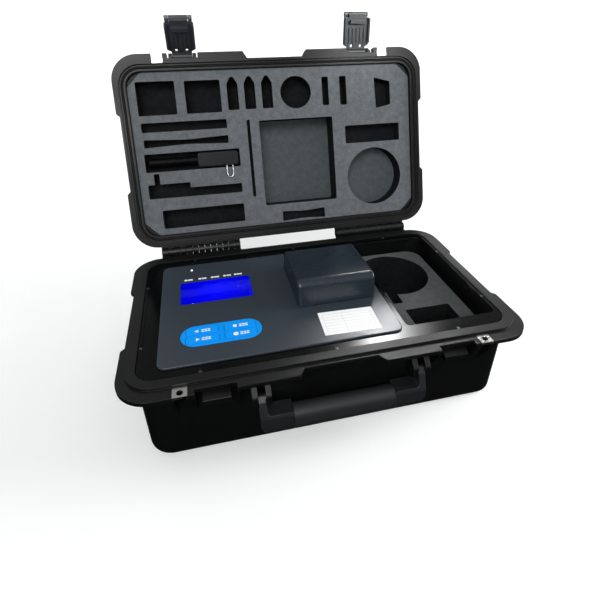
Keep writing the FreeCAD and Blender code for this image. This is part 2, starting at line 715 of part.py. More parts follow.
def make_handle_frame():
    """Bail with two pivot arms and a thinner core under the grip."""
    low = HANDLE_BAR_Z - HANDLE_BAR_H / 2
    high = HANDLE_BAR_Z + HANDLE_BAR_H / 2
    arm_x = HANDLE_HALF_W - HANDLE_ARM_T
    top = HANDLE_PIVOT_Z + HANDLE_BARREL_R
    half_outline = [(GRIP_HALF_L, low, 0), (HANDLE_HALF_W, low, 16), (HANDLE_HALF_W, top, 0),
                    (arm_x, top, 0),
                    (arm_x, high, HANDLE_INNER_R), (GRIP_HALF_L, high, 0)]
    front = front_profile(half_outline, HANDLE_BAR_Y - 2 * HANDLE_BAR_DEPTH,
                          HANDLE_BAR_Y + 2 * HANDLE_BAR_DEPTH)
    bar_front = HANDLE_BAR_Y - HANDLE_BAR_DEPTH / 2
    bar_back = HANDLE_BAR_Y + HANDLE_BAR_DEPTH / 2
    side_points = [(bar_front, low, 7), (bar_back, low, 7),
                   (HANDLE_PIVOT_Y + HANDLE_BARREL_R, HANDLE_PIVOT_Z, 5),
                   (HANDLE_PIVOT_Y, top, 4), (HANDLE_PIVOT_Y - HANDLE_BARREL_R, HANDLE_PIVOT_Z, 4),
                   (bar_front, high - 4, 6)]
    side = side_profile(side_points, GRIP_HALF_L, HANDLE_HALF_W)
    end = front.common(side)
    end = end.cut(rod_x(HANDLE_PIN_R + RUNNING_FIT, arm_x - 1, HANDLE_HALF_W + 1, HANDLE_PIVOT_Y,
                        HANDLE_PIVOT_Z))
    core = side_profile(rectangle(HANDLE_BAR_Y - GRIP_CORE_DEPTH / 2, HANDLE_BAR_Y + GRIP_CORE_DEPTH / 2,
                                  HANDLE_BAR_Z - GRIP_CORE_H / 2, HANDLE_BAR_Z + GRIP_CORE_H / 2, 3),
                        -GRIP_HALF_L, GRIP_HALF_L)
    return core.fuse(both_sides(end))


def make_handle_grip():
    """Soft sleeve round the handle's core, with finger grooves on its back."""
    sleeve = side_profile(rectangle(HANDLE_BAR_Y - GRIP_DEPTH / 2, HANDLE_BAR_Y + GRIP_DEPTH / 2,
                                    HANDLE_BAR_Z - GRIP_H / 2, HANDLE_BAR_Z + GRIP_H / 2, GRIP_R),
                          -GRIP_HALF_L + 0.2, GRIP_HALF_L - 0.2)
    core = side_profile(rectangle(HANDLE_BAR_Y - GRIP_CORE_DEPTH / 2, HANDLE_BAR_Y + GRIP_CORE_DEPTH / 2,
                                  HANDLE_BAR_Z - GRIP_CORE_H / 2, HANDLE_BAR_Z + GRIP_CORE_H / 2, 3),
                        -GRIP_HALF_L - 1, GRIP_HALF_L + 1)
    finger_r = 16.0
    finger_depth = 2.0
    fingers = []
    for i in range(4):
        x = (i - 1.5) * 2 * finger_r * 0.8
        fingers.append(rod_y(finger_r, HANDLE_BAR_Y - GRIP_DEPTH, HANDLE_BAR_Y + GRIP_DEPTH, x,
                             HANDLE_BAR_Z - GRIP_H / 2 - finger_r + finger_depth))
    return sleeve.cut([core] + fingers)


def make_handle_pins():
    """Pivot pins of the handle, held in the ears."""
    pin_x = HANDLE_HALF_W - HANDLE_ARM_T / 2
    pin_half = HANDLE_ARM_T / 2 + HANDLE_EAR_GAP + HANDLE_EAR_T
    return Part.makeCompound(both_sides(rod_x(HANDLE_PIN_R, pin_x - pin_half, pin_x + pin_half,
                                              HANDLE_PIVOT_Y, HANDLE_PIVOT_Z)))


# Lid, drawn closed

def make_lid_shell():
    """Domed lid with rim, seal groove, latch ears and hinge knuckles."""
    dome_low = band_outline(LID_CAVITY_INSET - LID_WALL)
    dome_high = band_outline(LID_CAVITY_INSET - LID_WALL + LID_DRAFT_INSET)
    dome = frustum(dome_low, LID_LAND, dome_high, LID_TOP)
    dome = dome.makeFillet(LID_TOP_FILLET, edges_at(dome, LID_TOP))
    solids = [slab(flange_outline(), LID_BOTTOM, LID_FLANGE_TOP)]
    for sign in (-1, 1):
        inner = LATCH_X + sign * (LATCH_NECK_W / 2 + 0.4)
        outer = LATCH_X + sign * (LATCH_NECK_W / 2 + 0.4 + LATCH_EAR_T)
        x_low = min(inner, outer)
        x_high = max(inner, outer)
        solids += both_sides(rod_x(LATCH_EAR_R, x_low, x_high, LATCH_PIVOT_Y, LATCH_PIVOT_Z))
        solids += both_sides(block(x_low, x_high, LATCH_PIVOT_Y, -BAND_FRONT + LID_CAVITY_INSET,
                                   LID_FLANGE_TOP - 0.5,
                                   LATCH_PIVOT_Z + LATCH_EAR_R))
    solids += both_sides(hinge_strip(LID_FLANGE_TOP - FLANGE_H, LID_FLANGE_TOP))
    for x_low, x_high in knuckle_spans(1):
        solids += both_sides(rod_x(HINGE_BARREL_R, x_low, x_high, HINGE_Y, HINGE_Z))
        solids += both_sides(block(x_low, x_high, FLANGE_BACK - 2, HINGE_Y, LID_FLANGE_TOP - FLANGE_H,
                                   LID_FLANGE_TOP))
    shell = dome.fuse(solids)
    groove_half = SEAL_R + SEAL_GROOVE_CLEARANCE
    groove = slab(band_outline(SEAL_INSET - groove_half), LID_LAND - 1, LID_LAND + 2 * SEAL_R)
    groove = groove.cut(slab(band_outline(SEAL_INSET + groove_half), LID_LAND - 2, LID_LAND + 3 * SEAL_R))
    cavity = frustum(lid_cavity_outline(LID_LAND, 0), LID_LAND, lid_cavity_outline(LID_CEILING, 0),
                     LID_CEILING)
    cuts = [cavity, slab(band_outline(-REBATE_CLEARANCE), LID_BOTTOM - 1, LID_LAND), groove]
    cuts += both_sides(rod_x(HINGE_PIN_R + RUNNING_FIT, HINGE_INNER_X - 1, HINGE_OUTER_X + 1, HINGE_Y,
                             HINGE_Z))
    cuts += both_sides(rod_x(LATCH_PIN_R, LATCH_X - LATCH_POCKET_W / 2, LATCH_X + LATCH_POCKET_W / 2,
                             LATCH_PIVOT_Y, LATCH_PIVOT_Z))
    cuts += [padlock_rebate(LID_BOTTOM - 1, LID_BOTTOM + PADLOCK_PLATE_T, side) for side, _ in PADLOCK_SIDES]
    return shell.cut(cuts).fuse(corner_webs())


def corner_webs():
    """Thin webs that fill the lid's corners beside the foam, each with a rib along it."""
    low = FOAM_FACE + CORNER_WEB_RECESS
    wide = lid_cavity_outline(LID_LAND, -LID_WALL / 2)
    grow = 10.0
    beside = lid_cavity_outline(FOAM_FACE, FOAM_FIT - grow)
    cut = FOAM_CHAMFER + 2 * grow - CORNER_WEB_GAP * math.sqrt(2)
    web = slab(wide, low, low + CORNER_WEB_T)
    web = web.cut(slab(chamfered(beside, cut), low - 1, low + CORNER_WEB_T + 1))
    rib = slab(wide, low - CORNER_RIB_H, low + 0.5)
    rib = rib.cut(slab(chamfered(beside, cut - 2.4), low - 2, low + 1))
    rib = rib.common(slab(chamfered(beside, cut - 4.6), low - 2, low + 1))
    return [web, rib]


def make_lid_seal():
    """Round rubber cord in the lid's groove."""
    z = LID_LAND + SEAL_R - 0.1
    path = outline(band_outline(SEAL_INSET), z)
    start = path.Edges[0].Vertexes[0].Point
    direction = path.Edges[0].tangentAt(path.Edges[0].FirstParameter)
    circle = Part.Wire([Part.Circle(start, direction, SEAL_R).toShape()])
    return path.makePipeShell([circle], True, False)


def lid_pockets():
    """Pockets cut in the lid foam: name, outline and depth, as seen with the lid closed."""
    left = -(BAND_HALF_W - POCKET_MARGIN)
    right = BAND_HALF_W - POCKET_MARGIN
    pen_left = PEN_JOIN_X - PEN_CAP_L - 4
    pen_right = PEN_JOIN_X + PEN_BODY_L + 3
    hood_left = HOOD_LEFT - 6
    hood_right = HOOD_RIGHT + 10
    pockets = [
        ("reagent_box_left", rectangle(left - 4, left + 51, -102, -54, 2), 22),
        ("reagent_box_right", rectangle(left + 65, left + 117, -101, -54, 2), 22),
        ("tube_bar_left", rectangle(right - 131, right - 120.5, -99, -56, 2), 20),
        ("tube_bar_right", rectangle(right - 102, right - 91, -99, -55, 2), 20),
        ("wedge_pocket", [(right - 44, -95, 2), (right - 17, -88, 2), (right - 17, -52, 2),
                          (right - 42, -47, 2)], 18),
        ("long_slot", rectangle(left - 3, left + 122, -43.5, -30, 2), 14),
        ("pen_slot", rectangle(pen_left, pen_right, PEN_Y - 13.5, PEN_Y + 13.5, 2), PEN_BODY_T),
        ("wide_slot", rectangle(left + 12, left + 136, 87, 115, 2), 22),
        ("hood_pocket", rectangle(hood_left, hood_right, HOOD_FRONT - 5.5, 94, 3), 33.5),
        ("cuvette_box", rectangle(right - 96.5, right - 3.5, -22, 6, 2), 20),
    ]
    for number, x in enumerate((left + 135, left + 161, left + 187.5)):
        pockets.append(("pipette_arch_" + str(number + 1), arch(x, 16.5, -108.5, -94, -56), 24))
    pockets.append(("waisted_slot", waisted(left - 2, left + 122, -13.5, 12, 6.5), 14))
    pockets.append(("brush_slot", waisted(-6, 64, 114, 16, 11), 12))
    steps = [(left - 4, 47, 2), (left + 6, 47, 1), (left + 6, 31, 2), (left + 14, 31, 2), (left + 14, 47, 1),
             (left + 58, 47, 1), (left + 58, 55, 1), (left + 136, 55, 2), (left + 136, 69, 2), (left - 4, 68, 2)]
    pockets.append(("stepped_slot", steps, 16))
    pockets.append(("rod_slot", rectangle(left + 152.1, left + 156.9, -40, 78, 1), 10))
    return pockets


def arch(x, width, tip, shoulder, foot):
    """Slot with a pointed, rounded end."""
    half = width / 2
    return [(x - half, foot, 2), (x - half, shoulder, 6), (x, tip, 4), (x + half, shoulder, 6),
            (x + half, foot, 2)]


def waisted(x_low, x_high, y, end_w, waist_w):
    """Slot that narrows towards its middle."""
    middle = (x_low + x_high) / 2
    bend_r = 150.0
    return [(x_low, y - end_w / 2, 2), (middle, y - waist_w / 2, bend_r), (x_high, y - end_w / 2, 2),
            (x_high, y + end_w / 2, 2), (middle, y + waist_w / 2, bend_r), (x_low, y + end_w / 2, 2)]


def chamfered(points, cut):
    """Rectangle with its corners cut at 45 degrees."""
    x_high, y_high, _ = points[2]
    y_low = points[0][1]
    soft = 2.0
    right = [(x_high - cut, y_low, soft), (x_high, y_low + cut, soft),
             (x_high, y_high - cut, soft), (x_high - cut, y_high, soft)]
    return right + [(-x, y, r) for x, y, r in reversed(right)]


def lid_round_pockets():
    """Round pockets in the lid foam: place, radius and depth."""
    disc_x = BAND_HALF_W - POCKET_MARGIN - DISC_POCKET_INSET
    return [(VIAL_POCKET_X, VIAL_POCKET_Y, VIAL_POCKET_R, VIAL_POCKET_DEPTH),
            (disc_x, DISC_POCKET_Y, DISC_POCKET_R, DISC_POCKET_DEPTH)]


def make_lid_foam():
    """Foam insert with a pocket for each accessory and one for the hood."""
    low = chamfered(lid_cavity_outline(FOAM_FACE, FOAM_FIT), FOAM_CHAMFER)
    high = chamfered(lid_cavity_outline(LID_CEILING, FOAM_FIT), FOAM_CHAMFER)
    foam = frustum(low, FOAM_FACE, high, LID_CEILING)
    cuts = [slab(points, FOAM_FACE - 1, FOAM_FACE + depth) for _, points, depth in lid_pockets()]
    for x, y, radius, depth in lid_round_pockets():
        cuts.append(rod_z(radius, FOAM_FACE - 1, FOAM_FACE + depth, x, y))
    return foam.cut(cuts)


# Latches, drawn shut on the closed lid, right-hand one at x = 0 before it is moved to its side

def make_latch_body():
    """Channel-shaped latch with a pivot barrel, a claw and a lug for the lever."""
    half_w = LATCH_W / 2
    neck = LATCH_NECK_W / 2
    plate_out = LATCH_FACE_Y - LATCH_PLATE_T
    neck_z = LATCH_PIVOT_Z - LATCH_EAR_R - 2
    plate = front_profile([(-half_w, LATCH_END_Z, 2), (half_w, LATCH_END_Z, 2), (half_w, neck_z - 3, 3),
                           (neck, neck_z, 1), (neck, LATCH_PIVOT_Z, 0), (-neck, LATCH_PIVOT_Z, 0),
                           (-neck, neck_z, 1), (-half_w, neck_z - 3, 3)], plate_out, LATCH_FACE_Y)
    solids = [rod_x(LATCH_BARREL_R, -neck, neck, LATCH_PIVOT_Y, LATCH_PIVOT_Z),
              block(-neck, neck, plate_out + 1, LATCH_PIVOT_Y, LATCH_PIVOT_Z - LATCH_BARREL_R,
                    LATCH_PIVOT_Z)]
    for sign in (-1, 1):
        x_a = sign * (half_w - LATCH_SKIRT_T)
        x_b = sign * half_w
        skirt_low = min(x_a, x_b)
        skirt = block(skirt_low, skirt_low + LATCH_SKIRT_T, LATCH_FACE_Y - 1, LATCH_FACE_Y + 5,
                      LATCH_END_Z + 1,
                      neck_z - 6)
        solids.append(skirt)
    rib_count = 5
    rib_w = 1.6
    for i in range(rib_count):
        x = (i - (rib_count - 1) / 2) * 6.0
        solids.append(block(x - rib_w / 2, x + rib_w / 2, LATCH_FACE_Y - 1, LATCH_FACE_Y + 1.8,
                            CLAW_TOP_Z + 6,
                            neck_z - 6))
    solids.append(block(-CLAW_W / 2, CLAW_W / 2, LATCH_FACE_Y - 1, LATCH_FACE_Y + CLAW_REACH,
                        CLAW_TOP_Z - CLAW_H,
                        CLAW_TOP_Z))
    lug = LEVER_LUG_W / 2
    lever_y = lever_pivot_y()
    solids.append(rod_x(LEVER_BARREL_R, -lug, lug, lever_y, LEVER_PIVOT_Z))
    solids.append(side_profile([(lever_y, LEVER_PIVOT_Z - LEVER_BARREL_R, 0),
                                (LATCH_FACE_Y, LEVER_PIVOT_Z, 1),
                                (LATCH_FACE_Y, LATCH_END_Z + 1, 0), (lever_y, LATCH_END_Z + 1,
                                                                     0)], -lug, lug))
    body = plate.fuse(solids)
    cuts = [rod_x(LATCH_PIN_R + RUNNING_FIT, -half_w, half_w, LATCH_PIVOT_Y, LATCH_PIVOT_Z),
            rod_x(LEVER_PIN_R, -half_w, half_w, lever_y, LEVER_PIVOT_Z)]
    hole_z = LATCH_PIVOT_Z - LATCH_HOLE_DROP
    for x in (-LATCH_HOLE_PITCH / 2, LATCH_HOLE_PITCH / 2):
        cuts.append(rod_y(LATCH_HOLE_R, plate_out - 1, LATCH_FACE_Y + 5, x, hole_z))
    return body.cut(cuts)


def lever_pivot_y():
    """The lever's pin lies in the middle of the lever's thickness."""
    return LATCH_FACE_Y - LATCH_PLATE_T - LEVER_GAP - LEVER_T / 2


def make_latch_lever():
    """Release lever, folded up against the latch body."""
    y = lever_pivot_y()
    half_w = LEVER_W / 2
    lug = LEVER_LUG_W / 2 + LEVER_GAP
    top = LEVER_PIVOT_Z + LEVER_L
    plate = front_profile([(-half_w, LEVER_PIVOT_Z, 0), (half_w, LEVER_PIVOT_Z, 0), (half_w - 2, top, 5),
                           (-half_w + 2, top, 5)], y - LEVER_T / 2, y + LEVER_T / 2)
    window = block(-lug, lug, y - LEVER_T, y + LEVER_T, LEVER_PIVOT_Z - 1, LATCH_END_Z + 2)
    barrel = rod_x(LEVER_BARREL_R, -half_w, half_w, y, LEVER_PIVOT_Z)
    barrel = barrel.cut(block(-lug, lug, y - 2 * LEVER_T, y + 2 * LEVER_T, LEVER_PIVOT_Z - 9,
                              LEVER_PIVOT_Z + 9))
    ridges = []
    for i in range(3):
        ridges.append(rod_x(1.0, -half_w + 6, half_w - 6, y - LEVER_T / 2, top - 4 - 4 * i))
    lever = plate.cut(window).fuse([barrel] + ridges)
    body_end = rod_x(LEVER_BARREL_R + LEVER_GAP, -lug, lug, y, LEVER_PIVOT_Z)
    pin = rod_x(LEVER_PIN_R + RUNNING_FIT, -half_w - 1, half_w + 1, y, LEVER_PIVOT_Z)
    return lever.cut([body_end, pin])


def make_lever_pin():
    """Pin through the lever and the latch body's lug."""
    return rod_x(LEVER_PIN_R, -LEVER_W / 2, LEVER_W / 2, lever_pivot_y(), LEVER_PIVOT_Z)


def make_latch_pins():
    """Latch pivot pins, held in the lid's ears."""
    half = LATCH_NECK_W / 2 + 0.4 + LATCH_EAR_T
    pin = rod_x(LATCH_PIN_R, LATCH_X - half, LATCH_X + half, LATCH_PIVOT_Y, LATCH_PIVOT_Z)
    return Part.makeCompound(both_sides(pin))


# Instrument

def bezel_screw_places():
    """Screws round the bezel, in the middle of the ledge below it."""
    inset = BAND_W + BEZEL_SCREW_INSET + BEZEL_GAP
    front = -(BAND_FRONT - inset)
    back = BAND_BACK - inset
    side = BAND_HALF_W - inset
    places = [(x, y) for y in (front, back) for x in (-150.0, 0.0, 150.0)]
    return places + [(sign * side, y) for sign in (-1, 1) for y in (-60.0, 60.0)]


def make_bezel():
    """Plate that closes the base, open under the panel and over the accessories."""
    plate = slab(band_outline(BAND_W + BEZEL_GAP), BEZEL_BOTTOM, BEZEL_TOP)
    under_panel = rectangle(PANEL_LEFT + PANEL_LAP, PANEL_RIGHT - PANEL_LAP, PANEL_FRONT + PANEL_LAP,
                            PANEL_BACK - PANEL_LAP, PANEL_R - 4)
    window = rectangle(WINDOW_LEFT, WINDOW_RIGHT, WINDOW_FRONT, WINDOW_BACK, WINDOW_R)
    cuts = [slab(under_panel, BEZEL_BOTTOM - 1, BEZEL_TOP + 1),
            slab(window, BEZEL_BOTTOM - 1, BEZEL_TOP + 1)]
    for x, y in bezel_screw_places():
        cuts.append(rod_z(BEZEL_SCREW_R, BEZEL_BOTTOM - 1, BEZEL_TOP + 1, x, y))
        cuts.append(rod_z(BEZEL_SCREW_HEAD_R, BEZEL_TOP - BEZEL_SCREW_HEAD_H, BEZEL_TOP + 1, x, y))
    return plate.cut(cuts)


def make_bezel_screws():
    """Flat-headed screws that hold the bezel on its ledge."""
    screws = []
    for x, y in bezel_screw_places():
        head = rod_z(BEZEL_SCREW_HEAD_R, BEZEL_TOP - BEZEL_SCREW_HEAD_H, BEZEL_TOP, x, y)
        screws.append(head.fuse(rod_z(BEZEL_SCREW_R, LEDGE_BOTTOM, BEZEL_TOP - BEZEL_SCREW_HEAD_H, x, y)))
    return Part.makeCompound(screws)


def make_panel():
    """Front panel with openings for the display, the keypad, the lamp and the well."""
    plate = slab(rectangle(PANEL_LEFT, PANEL_RIGHT, PANEL_FRONT, PANEL_BACK, PANEL_R), BEZEL_TOP, PANEL_TOP)
    plate = plate.makeFillet(PANEL_EDGE_R, edges_at(plate, PANEL_TOP))
    low = BEZEL_TOP - 1
    high = PANEL_TOP + 1
    cuts = [slab(centred(LCD_X, LCD_Y, LCD_W, LCD_H, 1.5, LCD_FIT), low, high),
            slab(centred(KEYPAD_X, KEYPAD_Y, KEYPAD_W, KEYPAD_H, KEYPAD_H / 2, LCD_FIT), low, high),
            rod_z(LED_R + 0.1, low, high, LED_X, LED_Y),
            rod_z(COLLAR_SPIGOT_R + 0.1, low, high, WELL_X, WELL_Y)]
    return plate.cut(cuts)


def centred(x, y, width, height, radius, grow=0.0):
    """Rounded rectangle about a centre, grown all round."""
    half_w = width / 2 + grow
    half_h = height / 2 + grow
    radius = min(radius + grow, half_h - 0.01)
    return rectangle(x - half_w, x + half_w, y - half_h, y + half_h, radius)


def make_lcd_module():
    """Display module hung under the panel."""
    frame = slab(centred(LCD_X, LCD_Y, LCD_W, LCD_H, 1, LCD_FRAME), LCD_BOTTOM + BOARD_T, BEZEL_TOP)
    glass_seat = slab(centred(LCD_X, LCD_Y, LCD_W, LCD_H, 1), BEZEL_TOP - 1, BEZEL_TOP + 1)
    board = slab(centred(LCD_X, LCD_Y, LCD_W, LCD_H, 1, LCD_FRAME + 3), LCD_BOTTOM, LCD_BOTTOM + BOARD_T)
    return frame.cut(glass_seat).fuse(board)


def make_lcd_window():
    """Clear window flush in the panel."""
    return slab(centred(LCD_X, LCD_Y, LCD_W, LCD_H, 1.5), BEZEL_TOP - 1, PANEL_TOP + 0.1)


def make_status_led():
    """Small indicator lamp on a leg to the board."""
    body = rod_z(LED_R, LCD_BOTTOM, PANEL_TOP, LED_X, LED_Y)
    dome = Part.makeSphere(LED_R, V(LED_X, LED_Y, PANEL_TOP))
    leg = rod_z(LED_R / 2, BOARD_TOP, LCD_BOTTOM + 1, LED_X, LED_Y)
    return body.fuse([dome, leg])


def key_places():
    """Centres of the four keys, row by row."""
    return [(KEYPAD_X + i * KEY_PITCH_X / 2, KEYPAD_Y + j * KEY_PITCH_Y / 2) for j in (1, -1) for i in (-1,
                                                                                                        1)]


def make_keypad_frame():
    """Blue surround with a hole for each key and a lip under the panel."""
    lip = slab(centred(KEYPAD_X, KEYPAD_Y, KEYPAD_W, KEYPAD_H, KEYPAD_H / 2, KEYPAD_LIP),
               BEZEL_TOP - KEYPAD_LIP_T, BEZEL_TOP)
    top = slab(centred(KEYPAD_X, KEYPAD_Y, KEYPAD_W, KEYPAD_H, KEYPAD_H / 2), BEZEL_TOP - 0.5, KEYPAD_TOP)
    frame = lip.fuse(top)
    holes = [slab(centred(x, y, KEY_W, KEY_H, KEY_R, KEY_GAP), BEZEL_TOP - KEYPAD_LIP_T - 1, KEYPAD_TOP + 1)
             for x, y in key_places()]
    return frame.cut(holes)


def make_key(x, y):
    """Key cap with a skirt that keeps it under the surround."""
    cap = slab(centred(x, y, KEY_W, KEY_H, KEY_R), KEY_SKIRT_BOTTOM, KEYPAD_TOP + 0.3)
    cap = cap.makeFillet(0.25, edges_at(cap, KEYPAD_TOP + 0.3))
    skirt = slab(centred(x, y, KEY_W, KEY_H, KEY_R, KEY_SKIRT), KEY_SKIRT_BOTTOM, KEY_SKIRT_TOP)
    return cap.fuse(skirt)


def make_key_board():
    """Small board with a switch dome under each key."""
    board = slab(centred(KEYPAD_X, KEYPAD_Y, KEYPAD_W, KEYPAD_H, 4, 4), KEY_BOARD_BOTTOM, KEY_BOARD_TOP)
    domes = [rod_z(DOME_R, KEY_BOARD_TOP - 0.2, KEY_BOARD_TOP + DOME_H, x, y) for x, y in key_places()]
    return board.fuse(domes)


def board_screw_places():
    """Bosses that carry the main board."""
    return [(x, y) for x in (BOARD_LEFT + 6, BOARD_RIGHT - 6) for y in (BOARD_FRONT + 6, BOARD_BACK - 6)]


def make_main_board():
    """Main circuit board with its larger components."""
    board = slab(rectangle(BOARD_LEFT, BOARD_RIGHT, BOARD_FRONT, BOARD_BACK, 3), BOARD_Z, BOARD_TOP)
    x = BOARD_RIGHT - CHIPS_INSET
    chips = [block(x, x + PROCESSOR_W, PROCESSOR_Y - PROCESSOR_W / 2, PROCESSOR_Y + PROCESSOR_W / 2,
                   BOARD_TOP, BOARD_TOP + PROCESSOR_T),
             block(x, x + DRIVER_W, DRIVER_Y - DRIVER_W / 2, DRIVER_Y + DRIVER_W / 2,
                   BOARD_TOP, BOARD_TOP + DRIVER_T)]
    for y in (CAPACITOR_Y, CAPACITOR_Y - CAPACITOR_PITCH):
        chips.append(rod_z(CAPACITOR_R, BOARD_TOP, BOARD_TOP + CAPACITOR_H, x + CAPACITOR_OFFSET, y))
    holes = [rod_z(BOARD_SCREW_R + 0.3, BOARD_Z - 1, BOARD_TOP + 1, x, y) for x, y in board_screw_places()]
    return board.fuse(chips).cut(holes)


def make_board_screws():
    """Pan-headed screws of the main board."""
    screws = []
    for x, y in board_screw_places():
        head = rod_z(BOARD_SCREW_HEAD_R, BOARD_TOP, BOARD_TOP + BOARD_SCREW_HEAD_H, x, y)
        screws.append(head.fuse(rod_z(BOARD_SCREW_R - 0.05, BOARD_Z - 8, BOARD_TOP + 0.5, x, y)))
    return Part.makeCompound(screws)


def make_board_standoffs():
    """Spacers between the main board and the display and key boards."""
    posts = []
    for dx in (-1, 1):
        for dy in (-1, 1):
            x = LCD_X + dx * (LCD_W / 2 + LCD_FRAME)
            posts.append(rod_z(STANDOFF_R, BOARD_TOP, LCD_BOTTOM, x, LCD_Y + dy * (LCD_H / 2 - 4)))
            x = KEYPAD_X + dx * (KEYPAD_W / 2)
            posts.append(rod_z(STANDOFF_R, BOARD_TOP, KEY_BOARD_BOTTOM, x, KEYPAD_Y + dy * (KEYPAD_H / 2)))
    return Part.makeCompound(posts)


def make_housing():
    """Open tray that hangs under the bezel and holds the electronics."""
    outer = slab(rectangle(HOUSING_LEFT, HOUSING_RIGHT, HOUSING_FRONT, HOUSING_BACK, HOUSING_R),
                 HOUSING_FLOOR_Z, BEZEL_BOTTOM)
    inside = rectangle(HOUSING_LEFT + HOUSING_WALL, HOUSING_RIGHT - HOUSING_WALL,
                       HOUSING_FRONT + HOUSING_WALL, HOUSING_BACK - HOUSING_WALL, HOUSING_R - HOUSING_WALL)
    tray = outer.cut(slab(inside, HOUSING_FLOOR_TOP, BEZEL_BOTTOM + 1))
    bosses = [rod_z(BOSS_R, HOUSING_FLOOR_TOP - 1, BOARD_Z, x, y) for x, y in board_screw_places()]
    tray = tray.fuse(bosses)
    holes = [rod_z(BOARD_SCREW_R, BOARD_Z - 12, BOARD_Z + 1, x, y) for x, y in board_screw_places()]
    holes.append(rod_x(SOCKET_R + 0.1, HOUSING_RIGHT - 2 * HOUSING_WALL, HOUSING_RIGHT + 1, SOCKET_Y,
                       SOCKET_Z))
    return tray.cut(holes)


def make_well_stand():
    """Hollow spacer between the housing's floor and the measuring block."""
    outer = slab(centred(WELL_X, WELL_Y, WELL_STAND_W, WELL_STAND_D, 2), HOUSING_FLOOR_TOP,
                 well_block_bottom())
    hollow = slab(centred(WELL_X, WELL_Y, WELL_STAND_W, WELL_STAND_D, 2, -3), HOUSING_FLOOR_TOP - 1,
                  well_block_bottom() + 1)
    return outer.cut(hollow)


def make_battery():
    """Rechargeable pack on the housing floor."""
    pack = slab(centred(BATTERY_X, BATTERY_Y, BATTERY_W, BATTERY_D, 6), HOUSING_FLOOR_TOP,
                HOUSING_FLOOR_TOP + BATTERY_H)
    return pack.makeFillet(2.0, edges_at(pack, HOUSING_FLOOR_TOP + BATTERY_H))


def make_battery_clamp():
    """Bent strip that holds the pack down."""
    half_d = BATTERY_D / 2 + 0.2
    top = HOUSING_FLOOR_TOP + BATTERY_H + 0.1
    outer = block(BATTERY_X - BATTERY_CLAMP_W / 2, BATTERY_X + BATTERY_CLAMP_W / 2,
                  BATTERY_Y - half_d - BATTERY_CLAMP_T, BATTERY_Y + half_d + BATTERY_CLAMP_T,
                  HOUSING_FLOOR_TOP, top + BATTERY_CLAMP_T)
    inner = block(BATTERY_X - BATTERY_CLAMP_W, BATTERY_X + BATTERY_CLAMP_W, BATTERY_Y - half_d,
                  BATTERY_Y + half_d, HOUSING_FLOOR_TOP - 1, top)
    foot_y = BATTERY_Y - half_d - BATTERY_CLAMP_T + 0.5
    foot = block(BATTERY_X - BATTERY_CLAMP_W / 2, BATTERY_X + BATTERY_CLAMP_W / 2, foot_y - 12, foot_y,
                 HOUSING_FLOOR_TOP, HOUSING_FLOOR_TOP + BATTERY_CLAMP_T)
    return outer.cut(inner).fuse(foot)


def make_charge_socket():
    """Round power inlet in the housing's side wall."""
    barrel = rod_x(SOCKET_R, HOUSING_RIGHT - SOCKET_L, HOUSING_RIGHT + 0.2, SOCKET_Y, SOCKET_Z)
    shoulder = rod_x(SOCKET_R + 1.5, HOUSING_RIGHT - HOUSING_WALL - 3, HOUSING_RIGHT - HOUSING_WALL,
                     SOCKET_Y, SOCKET_Z)
    bore = rod_x(SOCKET_BORE_R, HOUSING_RIGHT - SOCKET_L + 3, HOUSING_RIGHT + 1, SOCKET_Y, SOCKET_Z)
    contact = rod_x(0.9, HOUSING_RIGHT - SOCKET_L + 2, HOUSING_RIGHT - 2, SOCKET_Y, SOCKET_Z)
    return barrel.fuse(shoulder).cut(bore).fuse(contact)


def make_label():
    """Blank paper label, put on a little askew."""
    label = slab(centred(LABEL_X, LABEL_Y, LABEL_W, LABEL_H, 0.8), PANEL_TOP, PANEL_TOP + LABEL_T)
    return label.rotated(V(LABEL_X, LABEL_Y, 0), Z_DIR, LABEL_TURN)


# Optical block and hood

def well_block_bottom():
    """Underside of the measuring block."""
    return BEZEL_TOP - WELL_DEPTH - WELL_BLOCK_FLOOR


def make_well_block():
    """Black block with the cuvette well and the light path across it."""
    body = slab(centred(WELL_X, WELL_Y, WELL_BLOCK_W, WELL_BLOCK_D, 3), well_block_bottom(), BEZEL_TOP)
    well = rod_z(WELL_R, BEZEL_TOP - WELL_DEPTH, BEZEL_TOP + 1, WELL_X, WELL_Y)
    path = rod_y(LIGHT_PATH_R, WELL_Y - WELL_BLOCK_D, WELL_Y + WELL_BLOCK_D, WELL_X, LIGHT_PATH_Z)
    return body.cut([well, path])


def make_well_collar():
    """Ring round the mouth of the well, seated through the panel."""
    ring = rod_z(COLLAR_R, PANEL_TOP, PANEL_TOP + COLLAR_H, WELL_X, WELL_Y)
    ring = ring.makeFillet(1.0, edges_at(ring, PANEL_TOP + COLLAR_H))
    spigot = rod_z(COLLAR_SPIGOT_R, BEZEL_TOP, PANEL_TOP + 1, WELL_X, WELL_Y)
    return ring.fuse(spigot).cut(rod_z(COLLAR_BORE_R, BEZEL_TOP - 1, PANEL_TOP + COLLAR_H + 1, WELL_X,
                                       WELL_Y))


def make_sensor_board(side):
    """Board flat on the block's side, with a lamp or a light sensor in the light path."""
    face = WELL_Y + side * WELL_BLOCK_D / 2
    far = face + side * BOARD_T
    board = block(WELL_X - 15, WELL_X + 15, min(face, far), max(face, far), LIGHT_PATH_Z - 13,
                  LIGHT_PATH_Z + 13)
    tip = face - side * SENSOR_L
    outer = face + side * 0.5
    return board.fuse(rod_y(SENSOR_R, min(tip, outer), max(tip, outer), WELL_X, LIGHT_PATH_Z))


